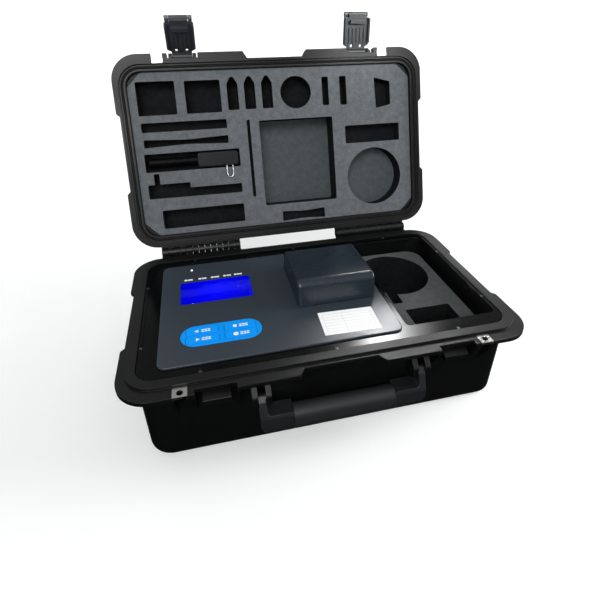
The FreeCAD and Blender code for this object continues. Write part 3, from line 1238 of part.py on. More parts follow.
def make_lens():
    """Small collimating lens in the light path, in front of the lamp."""
    near = WELL_Y - WELL_BLOCK_D / 2 + LENS_SETBACK
    disc = rod_y(LIGHT_PATH_R - RUNNING_FIT, near, near + LENS_T, WELL_X, LIGHT_PATH_Z)
    bulge = Part.makeSphere(LIGHT_PATH_R * 1.6, V(WELL_X, near + LENS_T - LIGHT_PATH_R, LIGHT_PATH_Z))
    rim = rod_y(LIGHT_PATH_R - RUNNING_FIT, near + 1, near + 3 * LENS_T, WELL_X, LIGHT_PATH_Z)
    return disc.fuse(bulge.common(rim))


def hood_profile(inset):
    """Side view of the hood, moved inwards by a wall."""
    low = PANEL_TOP + HOOD_GAP if inset == 0 else PANEL_TOP - 5
    front_r = HOOD_FRONT_R - inset
    back = HOOD_PIVOT_Y + HOOD_BARREL_R - inset
    return [(HOOD_FRONT + inset, low, 0), (back, low, 0), (back, HOOD_BACK_TOP_Z - inset, 6 - inset),
            (HOOD_FRONT + HOOD_FRONT_LEAN + inset, HOOD_TOP_Z - inset, front_r)]


def make_hood():
    """Hollow light-tight cover with a rolled hinge barrel along its back edge."""
    outer = side_profile(hood_profile(0), HOOD_LEFT, HOOD_RIGHT)
    rounding = [e for e in outer.Edges if abs(e.BoundBox.XMax - e.BoundBox.XMin) < 1e-3
                and e.BoundBox.ZMax > PANEL_TOP + 10 and e.BoundBox.YMin < HOOD_PIVOT_Y]
    outer = outer.makeFillet(HOOD_SIDE_R, rounding)
    inner = side_profile(hood_profile(HOOD_WALL), HOOD_LEFT + HOOD_WALL, HOOD_RIGHT - HOOD_WALL)
    ear_left = HOOD_LEFT + HOOD_BARREL_L
    ear_right = HOOD_RIGHT - HOOD_BARREL_L
    barrel = rod_x(HOOD_BARREL_R, HOOD_LEFT, HOOD_RIGHT, HOOD_PIVOT_Y, HOOD_PIVOT_Z)
    corner = block(HOOD_LEFT - 1, HOOD_RIGHT + 1, HOOD_PIVOT_Y, HOOD_PIVOT_Y + 9, PANEL_TOP - 1,
                   HOOD_PIVOT_Z)
    shell = outer.cut([inner, corner]).fuse(barrel)
    gap_low = ear_left
    gap_high = ear_right
    mouth = block(gap_low, gap_high, HOOD_PIVOT_Y - HOOD_BARREL_R - 1, HOOD_PIVOT_Y + 9, PANEL_TOP - 1,
                  HOOD_PIVOT_Z + HOOD_BARREL_R + 1)
    pin = rod_x(HOOD_PIN_R + RUNNING_FIT, HOOD_LEFT + HOOD_WALL, HOOD_RIGHT - HOOD_WALL, HOOD_PIVOT_Y,
                HOOD_PIVOT_Z)
    return shell.cut([mouth, pin])


def make_hood_bracket():
    """Foot on the panel with two ears that carry the hood's pin."""
    left = HOOD_LEFT + HOOD_BARREL_L + HOOD_GAP
    right = HOOD_RIGHT - HOOD_BARREL_L - HOOD_GAP
    foot = block(left, right, HOOD_PIVOT_Y - 8, HOOD_PIVOT_Y + HOOD_BARREL_R, PANEL_TOP, PANEL_TOP + 1.6)
    solids = []
    for x in (left, right - HOOD_EAR_W):
        solids.append(rod_x(HOOD_BARREL_R - 0.2, x, x + HOOD_EAR_W, HOOD_PIVOT_Y, HOOD_PIVOT_Z))
        solids.append(block(x, x + HOOD_EAR_W, HOOD_PIVOT_Y - HOOD_BARREL_R + 0.2,
                            HOOD_PIVOT_Y + HOOD_BARREL_R - 0.2,
                            PANEL_TOP + 1, HOOD_PIVOT_Z))
    pin = rod_x(HOOD_PIN_R, left - 1, right + 1, HOOD_PIVOT_Y, HOOD_PIVOT_Z)
    return foot.fuse(solids).cut(pin)


def make_hood_pin():
    """Pin through the hood's barrel and the bracket's ears."""
    return rod_x(HOOD_PIN_R, HOOD_LEFT + HOOD_WALL + 0.5, HOOD_RIGHT - HOOD_WALL - 0.5, HOOD_PIVOT_Y,
                 HOOD_PIVOT_Z)


# Pen meter, drawn with the lid closed

def pen_floor():
    """Bottom of the pen's pocket, which faces down when the lid is closed."""
    return FOAM_FACE + PEN_BODY_T


def pen_loop_place():
    """Middle of the wire loop, and the edge of the lug that holds it."""
    return PEN_JOIN_X + PEN_BODY_L - 14, PEN_Y + PEN_BODY_W / 2 - 0.5


def make_pen_body():
    """Flat body of the pen meter, with a lug for the wire loop."""
    x, y = pen_loop_place()
    body = slab(rectangle(PEN_JOIN_X, PEN_JOIN_X + PEN_BODY_L, PEN_Y - PEN_BODY_W / 2,
                          PEN_Y + PEN_BODY_W / 2, 4),
                FOAM_FACE, pen_floor())
    body = body.makeFillet(1.5, edges_at(body, FOAM_FACE))
    half = PEN_LOOP_R + 2
    return body.fuse(slab(rectangle(x - half, x + half, y - PEN_LUG_L, y, 1), FOAM_FACE - PEN_LUG_H,
                          FOAM_FACE + 2))


def make_pen_cap():
    """Round cap over the pen's electrode, with grip rings."""
    axis_z = pen_floor() - PEN_CAP_R
    cap = rod_x(PEN_CAP_R, PEN_JOIN_X - PEN_CAP_L, PEN_JOIN_X, PEN_Y, axis_z)
    cap = cap.makeFillet(3.0,
                         [e for e in cap.Edges if abs(e.BoundBox.XMax - (PEN_JOIN_X - PEN_CAP_L)) < 1e-3])
    rings = []
    for i in range(5):
        x = PEN_JOIN_X - 14 - 5 * i
        ring = rod_x(PEN_CAP_R + 1, x, x + 2, PEN_Y, axis_z)
        rings.append(ring.cut(rod_x(PEN_CAP_R - 0.8, x - 1, x + 3, PEN_Y, axis_z)))
    return cap.cut(rings)


def make_pen_loop():
    """Wire loop for a wrist cord, lying on the foam."""
    x, lug_edge = pen_loop_place()
    z = FOAM_FACE - PEN_WIRE_R - 0.1
    y = lug_edge + 0.1
    start = V(x - PEN_LOOP_R, y, z)
    left_end = V(x - PEN_LOOP_R, y + PEN_LOOP_L, z)
    right_end = V(x + PEN_LOOP_R, y + PEN_LOOP_L, z)
    finish = V(x + PEN_LOOP_R, y, z)
    top = V(x, y + PEN_LOOP_L + PEN_LOOP_R, z)
    path = Part.Wire([Part.LineSegment(start, left_end).toShape(),
                      Part.Arc(left_end, top, right_end).toShape(),
                      Part.LineSegment(right_end, finish).toShape()])
    circle = Part.Wire([Part.Circle(start, Y_DIR, PEN_WIRE_R).toShape()])
    return path.makePipeShell([circle], True, False)


# Build every piece

def main():
    """Write each piece to its own file."""
    os.makedirs("parts", exist_ok=True)
    write("base_shell", make_base_shell())
    write("base_foam", make_base_foam())
    write("lid_shell", open_lid(make_lid_shell()))
    write("lid_seal", open_lid(make_lid_seal()))
    write("lid_foam", open_lid(make_lid_foam()))
    write("latch_pins", open_lid(make_latch_pins()))
    write("pen_body", open_lid(make_pen_body()))
    write("pen_cap", open_lid(make_pen_cap()))
    write("pen_loop", open_lid(make_pen_loop()))
    for side, word in PADLOCK_SIDES:
        write("base_padlock_plate_" + word, padlock_plate(side, FLANGE_TOP - PADLOCK_PLATE_T))
        write("lid_padlock_plate_" + word, open_lid(padlock_plate(side, LID_BOTTOM)))
        write("hinge_pin_" + word, make_hinge_pin(side))
        place = V(side * LATCH_X, 0, 0)
        write("latch_body_" + word, lift_latch(make_latch_body().translated(place), side))
        write("lever_pin_" + word, lift_latch(make_lever_pin().translated(place), side))
        write("latch_lever_" + word, lift_latch(make_latch_lever().translated(place), side))
    write("handle_frame", make_handle_frame())
    write("handle_grip", make_handle_grip())
    write("handle_pins", make_handle_pins())
    write("bezel", make_bezel())
    write("bezel_screws", make_bezel_screws())
    write("instrument_panel", make_panel())
    write("lcd_module", make_lcd_module())
    write("lcd_window", make_lcd_window())
    write("status_led", make_status_led())
    write("keypad_frame", make_keypad_frame())
    for number, (x, y) in enumerate(key_places()):
        write("key_" + str(number + 1), make_key(x, y))
    write("key_board", make_key_board())
    write("main_board", make_main_board())
    write("board_screws", make_board_screws())
    write("board_standoffs", make_board_standoffs())
    write("instrument_housing", make_housing())
    write("well_stand", make_well_stand())
    write("battery_pack", make_battery())
    write("battery_clamp", make_battery_clamp())
    write("charge_socket", make_charge_socket())
    write("panel_label", make_label())
    write("well_block", make_well_block())
    write("well_collar", make_well_collar())
    write("lamp_board", make_sensor_board(-1))
    write("detector_board", make_sensor_board(1))
    write("lens", make_lens())
    write("hood", make_hood())
    write("hood_bracket", make_hood_bracket())
    write("hood_pin", make_hood_pin())


main()
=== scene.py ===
import logging
import math
from dataclasses import dataclass, field
from enum import Enum, IntEnum
from typing import Optional, Sequence, Union

import bmesh
import bpy
from mathutils import Matrix, Vector


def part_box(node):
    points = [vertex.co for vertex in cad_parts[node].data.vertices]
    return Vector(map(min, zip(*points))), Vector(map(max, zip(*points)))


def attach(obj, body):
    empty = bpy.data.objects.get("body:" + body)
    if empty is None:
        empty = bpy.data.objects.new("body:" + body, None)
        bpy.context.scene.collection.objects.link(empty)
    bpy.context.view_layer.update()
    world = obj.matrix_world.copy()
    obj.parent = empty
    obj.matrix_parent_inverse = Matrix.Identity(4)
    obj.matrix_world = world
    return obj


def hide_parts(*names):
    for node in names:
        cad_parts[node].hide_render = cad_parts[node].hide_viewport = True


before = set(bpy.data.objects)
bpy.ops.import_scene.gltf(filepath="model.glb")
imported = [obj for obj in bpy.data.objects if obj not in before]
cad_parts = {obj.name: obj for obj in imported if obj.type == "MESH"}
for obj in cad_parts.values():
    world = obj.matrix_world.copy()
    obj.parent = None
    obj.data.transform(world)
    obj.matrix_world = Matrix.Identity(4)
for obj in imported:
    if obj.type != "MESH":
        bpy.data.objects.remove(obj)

LOG = logging.getLogger("water_analyser")
MM = 0.001
MM_PER_M = 1000.0
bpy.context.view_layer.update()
LID_OPEN = math.radians(107.5)


class Body(Enum):
    """The moving bodies of the analyser."""

    BASE = "case_base"
    LID = "case_lid"
    HOOD = "light_hood"
    LATCH_LEFT = "latch_left"
    LATCH_RIGHT = "latch_right"
    LEVER_LEFT = "lever_left"
    LEVER_RIGHT = "lever_right"
    HANDLE = "carry_handle"
    KEY_1 = "key_upper_left"
    KEY_2 = "key_upper_right"
    KEY_3 = "key_lower_left"
    KEY_4 = "key_lower_right"


class FoamSide(IntEnum):
    """The sides of a foam block, in the order of the finishes that they wear."""

    OPEN = 0
    WIDE_FLOOR = 1
    CUT = 2


def mm(x: float, y: float, z: float) -> Vector:
    """Turns a point in millimetres to metres.

    Args:
        x: to the right, in millimetres.
        y: to the back.
        z: up.

    Returns:
        The point in metres.
    """
    return Vector((x, y, z)) * MM


# Colour and shader nodes

def linear(hex_colour: str) -> tuple[float, float, float, float]:
    """Turns an sRGB hex colour to linear.

    Args:
        hex_colour: six hex digits, with or without a leading #.

    Returns:
        Linear red, green, blue and an alpha of 1.
    """
    digits = hex_colour.lstrip("#")
    parts = [int(digits[i:i + 2], 16) / 255.0 for i in (0, 2, 4)]
    low = [c / 12.92 if c <= 0.04045 else ((c + 0.055) / 1.055) ** 2.4 for c in parts]
    return (low[0], low[1], low[2], 1.0)


def add_node(
    tree: bpy.types.NodeTree,
    kind: str,
    settings: Optional[dict] = None,
    links: Optional[dict] = None,
    **attributes: object,
) -> bpy.types.Node:
    """Adds a shader node.

    Args:
        tree: the node tree.
        kind: the node's type.
        settings: values for inputs, by name or number.
        links: output sockets to link in, by the input's name or number.
        **attributes: properties of the node itself.

    Returns:
        The new node.
    """
    item = tree.nodes.new(kind)
    for name, value in attributes.items():
        setattr(item, name, value)
    for name, value in (settings or {}).items():
        item.inputs[name].default_value = value
    for name, socket in (links or {}).items():
        tree.links.new(socket, item.inputs[name])
    return item


def start_material(
    name: str,
) -> tuple[bpy.types.Material, bpy.types.NodeTree, bpy.types.Node, bpy.types.NodeSocket]:
    """Makes an empty material with a Principled shader.

    Args:
        name: the material's name.

    Returns:
        The material, its tree, the shader node and the object coordinates.
    """
    material = bpy.data.materials.new(name)
    material.use_nodes = True
    tree = material.node_tree
    tree.nodes.clear()
    shader = add_node(tree, "ShaderNodeBsdfPrincipled")
    add_node(tree, "ShaderNodeOutputMaterial", links={"Surface": shader.outputs["BSDF"]})
    place = add_node(tree, "ShaderNodeTexCoord").outputs["Object"]
    return material, tree, shader, place


def per_metre(size_mm: float) -> float:
    """Turns the size of a pattern to its scale.

    Args:
        size_mm: how far apart the pattern's features are, in millimetres.

    Returns:
        How many of them there are in a metre.
    """
    return MM_PER_M / size_mm


@dataclass(frozen=True)
class MouldedPlastic:
    """Injection-moulded plastic: an even grain from the etched mould, and a faint flow in the gloss.

    A mould's grain is a few tenths of a millimetre across. On the smoother finishes the real grain
    is finer than shows in the view, so it is drawn coarser and shallower.
    """

    name: str
    colour: str
    worn_colour: str
    roughness: float
    grain_mm: float
    grain_depth_mm: float
    ior: float = 1.49
    edge_mm: float = 0.8
    edge_wear: float = 0.35
    gloss_level: float = 0.5
    flow_mm: float = 60.0
    gloss_spread: float = 0.09
    unworn_share: float = 0.1

    def build(self) -> bpy.types.Material:
        """Returns the material."""
        material, tree, shader, place = start_material(self.name)
        grain = add_node(tree, "ShaderNodeTexNoise",
                         {"Scale": per_metre(self.grain_mm), "Detail": 3.0, "Roughness": 0.6},
                         {"Vector": place})
        flow = add_node(tree, "ShaderNodeTexNoise",
                        {"Scale": per_metre(self.flow_mm), "Detail": 1.5, "Roughness": 0.5},
                        {"Vector": place})
        rounded = add_node(tree, "ShaderNodeBevel", {"Radius": self.edge_mm * MM}, samples=4)
        flat = add_node(tree, "ShaderNodeNewGeometry")
        sharpness = add_node(tree, "ShaderNodeVectorMath",
                             links={0: rounded.outputs["Normal"], 1: flat.outputs["Normal"]},
                             operation="DOT_PRODUCT")
        edge = add_node(tree, "ShaderNodeMapRange",
                        {"From Min": 0.999, "From Max": 0.93, "To Min": 0.0, "To Max": 1.0},
                        {"Value": sharpness.outputs["Value"]}, clamp=True)
        patchy = add_node(tree, "ShaderNodeMath", {2: -self.unworn_share},
                          {0: edge.outputs["Result"], 1: flow.outputs["Fac"]},
                          operation="MULTIPLY_ADD", use_clamp=True)
        wear = add_node(tree, "ShaderNodeMath", {1: self.edge_wear}, {0: patchy.outputs["Value"]},
                        operation="MULTIPLY")
        tint = add_node(tree, "ShaderNodeMix", {"A": linear(self.colour), "B": linear(self.worn_colour)},
                        {"Factor": wear.outputs["Value"]}, data_type="RGBA")
        gloss = add_node(tree, "ShaderNodeMapRange",
                         {"To Min": self.roughness - self.gloss_spread,
                          "To Max": self.roughness + self.gloss_spread},
                         {"Value": flow.outputs["Fac"]})
        bump = add_node(tree, "ShaderNodeBump", {"Strength": 0.6, "Distance": self.grain_depth_mm * MM},
                        {"Height": grain.outputs["Fac"], "Normal": rounded.outputs["Normal"]})
        tree.links.new(tint.outputs["Result"], shader.inputs["Base Color"])
        tree.links.new(gloss.outputs["Result"], shader.inputs["Roughness"])
        tree.links.new(bump.outputs["Normal"], shader.inputs["Normal"])
        shader.inputs["IOR"].default_value = self.ior
        shader.inputs["Specular IOR Level"].default_value = self.gloss_level
        return material


@dataclass(frozen=True)
class CutFoam:
    """Closed-cell foam: small open cells, matt, with a paler bloom where the skin is rubbed.

    The real cells are about 0.3 mm across. They are drawn larger, because nothing finer shows in the view.
    """

    name: str
    colour: str
    pale_colour: str
    cell_mm: float = 1.3
    mottle_mm: float = 9.0
    depth_mm: float = 0.5
    sheen: float = 0.12
    gloss_level: float = 0.25
    cell_share: float = 0.35

    def build(self) -> bpy.types.Material:
        """Returns the material."""
        material, tree, shader, place = start_material(self.name)
        cells = add_node(tree, "ShaderNodeTexVoronoi", {"Scale": per_metre(self.cell_mm), "Randomness": 1.0},
                         {"Vector": place}, feature="F1")
        mottle = add_node(tree, "ShaderNodeTexNoise",
                          {"Scale": per_metre(self.mottle_mm), "Detail": 6.0, "Roughness": 0.7},
                          {"Vector": place})
        both = add_node(tree, "ShaderNodeMath", {1: self.cell_share},
                        {0: cells.outputs["Distance"], 2: mottle.outputs["Fac"]}, operation="MULTIPLY_ADD")
        spread = add_node(tree, "ShaderNodeMapRange", {"From Min": 0.45, "From Max": 1.0},
                          {"Value": both.outputs["Value"]}, clamp=True)
        tint = add_node(tree, "ShaderNodeMix", {"A": linear(self.colour), "B": linear(self.pale_colour)},
                        {"Factor": spread.outputs["Result"]}, data_type="RGBA")
        bump = add_node(tree, "ShaderNodeBump", {"Strength": 0.7, "Distance": self.depth_mm * MM},
                        {"Height": cells.outputs["Distance"]})
        tree.links.new(tint.outputs["Result"], shader.inputs["Base Color"])
        tree.links.new(bump.outputs["Normal"], shader.inputs["Normal"])
        shader.inputs["Roughness"].default_value = 0.92
        shader.inputs["Specular IOR Level"].default_value = self.gloss_level
        shader.inputs["Sheen Weight"].default_value = self.sheen
        shader.inputs["Sheen Roughness"].default_value = 0.6
        return material


@dataclass(frozen=True)
class WorkedMetal:
    """Bare metal with the fine marks of its working: brushed in one direction, or turned and plated.

    Real lines are less than 0.1 mm apart. They are drawn coarser, because nothing finer shows in the view.
    """

    name: str
    colour: str
    roughness: float
    line_mm: float = 0.35
    stretch: Vector = field(default_factory=lambda: Vector((0.04, 1.0, 1.0)))
    smudge_mm: float = 9.0

    def build(self) -> bpy.types.Material:
        """Returns the material."""
        material, tree, shader, place = start_material(self.name)
        along = add_node(tree, "ShaderNodeMapping", {"Scale": self.stretch}, {"Vector": place})
        lines = add_node(tree, "ShaderNodeTexNoise",
                         {"Scale": per_metre(self.line_mm), "Detail": 4.0, "Roughness": 0.7},
                         {"Vector": along.outputs["Vector"]})
        smudge = add_node(tree, "ShaderNodeTexNoise", {"Scale": per_metre(self.smudge_mm), "Detail": 3.0},
                          {"Vector": place})
        gloss = add_node(tree, "ShaderNodeMapRange",
                         {"From Min": 0.3, "From Max": 0.7, "To Min": self.roughness - 0.07,
                          "To Max": self.roughness + 0.1}, {"Value": smudge.outputs["Fac"]})
        bump = add_node(tree, "ShaderNodeBump", {"Strength": 0.35, "Distance": 0.03 * MM},
                        {"Height": lines.outputs["Fac"]})
        tree.links.new(gloss.outputs["Result"], shader.inputs["Roughness"])
        tree.links.new(bump.outputs["Normal"], shader.inputs["Normal"])
        shader.inputs["Base Color"].default_value = linear(self.colour)
        shader.inputs["Metallic"].default_value = 1.0
        return material


@dataclass(frozen=True)
class LitDisplay:
    """Backlit liquid-crystal film: an even blue glow, brighter in the middle, with a fine dot grid.

    Real dots are about half a millimetre apart. They are drawn coarser, because nothing finer shows
    in the view.
    """

    name: str
    glow: str
    centre: Vector
    width_mm: float
    dot_mm: float = 0.9
    strength: float = 0.42
    unlit: str = "000014"
    fade_share: float = 0.62
    edge_level: float = 0.72
    grid_level: float = 0.86

    def build(self) -> bpy.types.Material:
        """Returns the material."""
        material, tree, shader, place = start_material(self.name)
        about = add_node(tree, "ShaderNodeVectorMath", {1: self.centre}, {0: place}, operation="SUBTRACT")
        reach = add_node(tree, "ShaderNodeVectorMath", links={0: about.outputs["Vector"]}, operation="LENGTH")
        fall = add_node(tree, "ShaderNodeMapRange",
                        {"From Min": 0.0, "From Max": self.width_mm * MM * self.fade_share, "To Min": 1.0,
                         "To Max": self.edge_level}, {"Value": reach.outputs["Value"]})
        split = add_node(tree, "ShaderNodeSeparateXYZ", links={"Vector": about.outputs["Vector"]})
        lines = []
        for axis in ("X", "Y"):
            wave = add_node(tree, "ShaderNodeMath", {1: math.tau / (self.dot_mm * MM)},
                            {0: split.outputs[axis]}, operation="MULTIPLY")
            lines.append(add_node(tree, "ShaderNodeMath", links={0: wave.outputs["Value"]},
                                  operation="COSINE"))
        dots = add_node(tree, "ShaderNodeMath",
                        links={number: line.outputs["Value"] for number, line in enumerate(lines)},
                        operation="MAXIMUM")
        grid = add_node(tree, "ShaderNodeMapRange",
                        {"From Min": 0.8, "From Max": 1.0, "To Min": 1.0, "To Max": self.grid_level},
                        {"Value": dots.outputs["Value"]}, clamp=True)
        level = add_node(tree, "ShaderNodeMath", links={0: fall.outputs["Result"], 1: grid.outputs["Result"]},
                         operation="MULTIPLY")
        tint = add_node(tree, "ShaderNodeMix", {"A": linear(self.unlit), "B": linear(self.glow)},
                        {"Factor": level.outputs["Value"]}, data_type="RGBA")
        tree.links.new(tint.outputs["Result"], shader.inputs["Base Color"])
        tree.links.new(tint.outputs["Result"], shader.inputs["Emission Color"])
        shader.inputs["Emission Strength"].default_value = self.strength
        shader.inputs["Roughness"].default_value = 0.35
        return material


@dataclass(frozen=True)
class ClearGlass:
    """Clear polished window or lens, with a faint smear that only the highlights show."""

    name: str
    colour: str
    roughness: float = 0.04
    smear_mm: float = 14.0

    def build(self) -> bpy.types.Material:
        """Returns the material."""
        material, tree, shader, place = start_material(self.name)
        smear = add_node(tree, "ShaderNodeTexNoise", {"Scale": per_metre(self.smear_mm), "Detail": 4.0},
                         {"Vector": place})
        gloss = add_node(tree, "ShaderNodeMapRange",
                         {"From Min": 0.35, "From Max": 0.7, "To Min": self.roughness,
                          "To Max": self.roughness + 0.06}, {"Value": smear.outputs["Fac"]})
        tree.links.new(gloss.outputs["Result"], shader.inputs["Roughness"])
        shader.inputs["Base Color"].default_value = linear(self.colour)
        shader.inputs["Transmission Weight"].default_value = 1.0
        shader.inputs["IOR"].default_value = 1.49
        return material


@dataclass(frozen=True)
class LitLamp:
    """Frosted epoxy dome of an indicator that is lit: brightest at the crown, where the die sits."""

    name: str
    glow: str
    strength: float = 0.9
    dome: str = "e8ebee"
    haze_mm: float = 0.6

    def build(self) -> bpy.types.Material:
        """Returns the material."""
        material, tree, shader, place = start_material(self.name)
        facing = add_node(tree, "ShaderNodeLayerWeight", {"Blend": 0.35}).outputs["Facing"]
        haze = add_node(tree, "ShaderNodeTexNoise", {"Scale": per_metre(self.haze_mm), "Detail": 2.0},
                        {"Vector": place})
        level = add_node(tree, "ShaderNodeMapRange",
                         {"From Min": 0.2, "From Max": 1.3, "To Min": 1.0, "To Max": 0.4}, {"Value": facing})
        power = add_node(tree, "ShaderNodeMath", {1: self.strength}, {0: level.outputs["Result"]},
                         operation="MULTIPLY")
        gloss = add_node(tree, "ShaderNodeMapRange", {"To Min": 0.2, "To Max": 0.35},
                         {"Value": haze.outputs["Fac"]})
        shader.inputs["Base Color"].default_value = linear(self.dome)
        shader.inputs["Emission Color"].default_value = linear(self.glow)
        tree.links.new(power.outputs["Value"], shader.inputs["Emission Strength"])
        tree.links.new(gloss.outputs["Result"], shader.inputs["Roughness"])
        return material


@dataclass(frozen=True)
class PrintedFilm:
    """Printed paper or film: white with the faint mottle of its fibres."""

    name: str
    colour: str
    shade: str
    roughness: float = 0.55
    fibre_mm: float = 1.2

    def build(self) -> bpy.types.Material:
        """Returns the material."""
        material, tree, shader, place = start_material(self.name)
        fibres = add_node(tree, "ShaderNodeTexNoise",
                          {"Scale": per_metre(self.fibre_mm), "Detail": 6.0, "Roughness": 0.7},
                          {"Vector": place})
        tint = add_node(tree, "ShaderNodeMix", {"A": linear(self.colour), "B": linear(self.shade)},
                        {"Factor": fibres.outputs["Fac"]}, data_type="RGBA")
        bump = add_node(tree, "ShaderNodeBump", {"Strength": 0.2, "Distance": 0.05 * MM},
                        {"Height": fibres.outputs["Fac"]})
        tree.links.new(tint.outputs["Result"], shader.inputs["Base Color"])
        tree.links.new(bump.outputs["Normal"], shader.inputs["Normal"])
        shader.inputs["Roughness"].default_value = self.roughness
        return material


@dataclass(frozen=True)
class SolderMask:
    """Green lacquer over the copper tracks of a circuit board, which show through as paler lines.

    The brick pattern has four rows to each of its tiles, and each row is one track apart.
    """

    name: str
    colour: str
    track_colour: str
    track_mm: float = 2.4
    rows_per_tile: float = 4.0

    def build(self) -> bpy.types.Material:
        """Returns the material."""
        material, tree, shader, place = start_material(self.name)
        lacquer = linear(self.colour)
        tracks = add_node(tree, "ShaderNodeTexBrick",
                          {"Scale": per_metre(self.track_mm * self.rows_per_tile), "Mortar Size": 0.03,
                           "Color1": lacquer, "Color2": lacquer, "Mortar": linear(self.track_colour)},
                          {"Vector": place})
        bump = add_node(tree, "ShaderNodeBump", {"Strength": 0.3, "Distance": 0.05 * MM},
                        {"Height": tracks.outputs["Fac"]})
        tree.links.new(tracks.outputs["Color"], shader.inputs["Base Color"])
        tree.links.new(bump.outputs["Normal"], shader.inputs["Normal"])
        shader.inputs["Roughness"].default_value = 0.3
        return material


Finish = Union[MouldedPlastic, CutFoam, WorkedMetal, LitDisplay, ClearGlass, LitLamp, PrintedFilm, SolderMask]

# The finishes of this analyser, each with what it gives the eye

# An etched mould leaves an even fine grain that scatters the light; handled edges go paler
CASE_SHELL = MouldedPlastic(
    "Moulded polypropylene, case black", "08090a", "2a2c2e", roughness=0.42, grain_mm=0.55,
    grain_depth_mm=0.05, gloss_level=0.4)
# Stiffer and shinier than the shells, with rubbed ribs and edges; its black is painted a lighter grey, a
# painted highlight
LATCH_PLASTIC = MouldedPlastic(
    "Moulded nylon, latch black", "292b2e", "63666a", roughness=0.4, grain_mm=0.4,
    grain_depth_mm=0.03, edge_wear=0.6, gloss_level=0.6)
# The lever is painted a paler grey still, a painted highlight for the light it catches, and its rubbed edges
# go paler again
LEVER_PLASTIC = MouldedPlastic(
    "Moulded nylon, lever dark grey", "4c4f52", "808488", roughness=0.38, grain_mm=0.4,
    grain_depth_mm=0.03, edge_wear=0.6, gloss_level=0.7)
# A smoother mould than the shells', with soft highlights at the ends
HANDLE_PLASTIC = MouldedPlastic(
    "Moulded polypropylene, handle black", "1a1c1e", "54585c", roughness=0.3, grain_mm=0.5,
    grain_depth_mm=0.04, edge_wear=0.5, gloss_level=0.6)
# Matt and slightly dusty, with a coarser skin
GRIP_RUBBER = MouldedPlastic(
    "Moulded soft elastomer, grip", "1d1f21", "35383a", roughness=0.46, grain_mm=0.7,
    grain_depth_mm=0.08, ior=1.52, gloss_level=0.4)
# Dull black, without a highlight
SEAL_RUBBER = MouldedPlastic(
    "Extruded rubber cord, seal", "080809", "161617", roughness=0.6, grain_mm=0.5,
    grain_depth_mm=0.02, ior=1.52, gloss_level=0.25)
# Polished, so it shows a lamp as a bright streak
BEZEL_SHEET = MouldedPlastic(
    "Polished acrylic sheet, bezel black", "040506", "191b1e", roughness=0.17, grain_mm=0.8,
    grain_depth_mm=0.004, edge_wear=0.1, gloss_level=0.13)
# Satin blue-grey whose highlight spreads wide
PANEL_COAT = MouldedPlastic(
    "Satin powder coat, panel", "2f373f", "4a525a", roughness=0.33, grain_mm=0.35,
    grain_depth_mm=0.006, ior=1.5, edge_wear=0.2)
# Darker than the panel and a little shinier, with bright rounded edges
HOOD_COAT = MouldedPlastic(
    "Satin coated ABS, hood", "1c252e", "4c5661", roughness=0.27, grain_mm=0.45,
    grain_depth_mm=0.008, ior=1.53)
# Strong blue right through, with hardly any shine; the keys are a shade paler than their surround
KEYPAD_BLUE = MouldedPlastic(
    "Moulded silicone, keypad blue", "0092f2", "1a9ff5", roughness=0.45, grain_mm=0.4,
    grain_depth_mm=0.008, edge_wear=0.1, gloss_level=0.15)
KEY_BLUE = MouldedPlastic(
    "Moulded silicone, key blue", "0396f6", "1fa4f8", roughness=0.45, grain_mm=0.4,
    grain_depth_mm=0.008, edge_wear=0.1, gloss_level=0.15)
# Plain dark parts inside the case
HOUSING_PLASTIC = MouldedPlastic(
    "Moulded ABS, housing", "141516", "303234", roughness=0.5, grain_mm=0.6,
    grain_depth_mm=0.04, ior=1.53, gloss_level=0.4)
SOCKET_PLASTIC = MouldedPlastic(
    "Moulded PBT, socket", "0b0b0c", "232325", roughness=0.35, grain_mm=0.4,
    grain_depth_mm=0.02)
# The pen is satin, its cap darker and duller than its body
PEN_GREY = MouldedPlastic(
    "Moulded ABS, pen body grey", "121517", "303438", roughness=0.4, grain_mm=0.4,
    grain_depth_mm=0.015, ior=1.53, gloss_level=0.2)
PEN_BLACK = MouldedPlastic(
    "Moulded ABS, pen cap black", "040505", "161718", roughness=0.45, grain_mm=0.4,
    grain_depth_mm=0.015, ior=1.53, gloss_level=0.08)
# Dyed oxide: dark with a metallic edge to its shine
BLACK_ANODISED = MouldedPlastic(
    "Black anodised aluminium", "0c0d0e", "252628", roughness=0.4, grain_mm=0.3,
    grain_depth_mm=0.01, ior=1.7)
# Thin film drawn tight: shiny with slow waves
BATTERY_WRAP = MouldedPlastic(
    "Shrink film, battery blue", "17407f", "3c6bb0", roughness=0.25, grain_mm=3.0,
    grain_depth_mm=0.05)
# Oxide over steel: black, and glossier than any of the plastics
BLACK_SCREW = MouldedPlastic(
    "Blackened steel, screw", "0c0c0d", "2c2d2f", roughness=0.32, grain_mm=0.5,
    grain_depth_mm=0.01, ior=1.9)
# Foam: the lid's open face wears the foam's own grey; the base's open face is painted darker as painted shade
# from the lid, the wide pocket floors are painted darker as painted shade, and the pocket walls and small
# floors are painted nearly black as painted shade
FOAM_FACE = CutFoam("Closed-cell foam, open face, grey", "484c4f", "64686c")
FOAM_SHADED_FACE = CutFoam("Closed-cell foam, open face painted in shade, dark grey", "36393a", "4c5051")
FOAM_SHADED_FLOOR = CutFoam("Closed-cell foam, pocket floor painted in shade, grey", "3d4244", "4f5557")
FOAM_POCKET_SHADE = CutFoam("Closed-cell foam, pocket walls painted in shade, charcoal", "101213", "1e2021",
                   sheen=0.0, gloss_level=0.1)
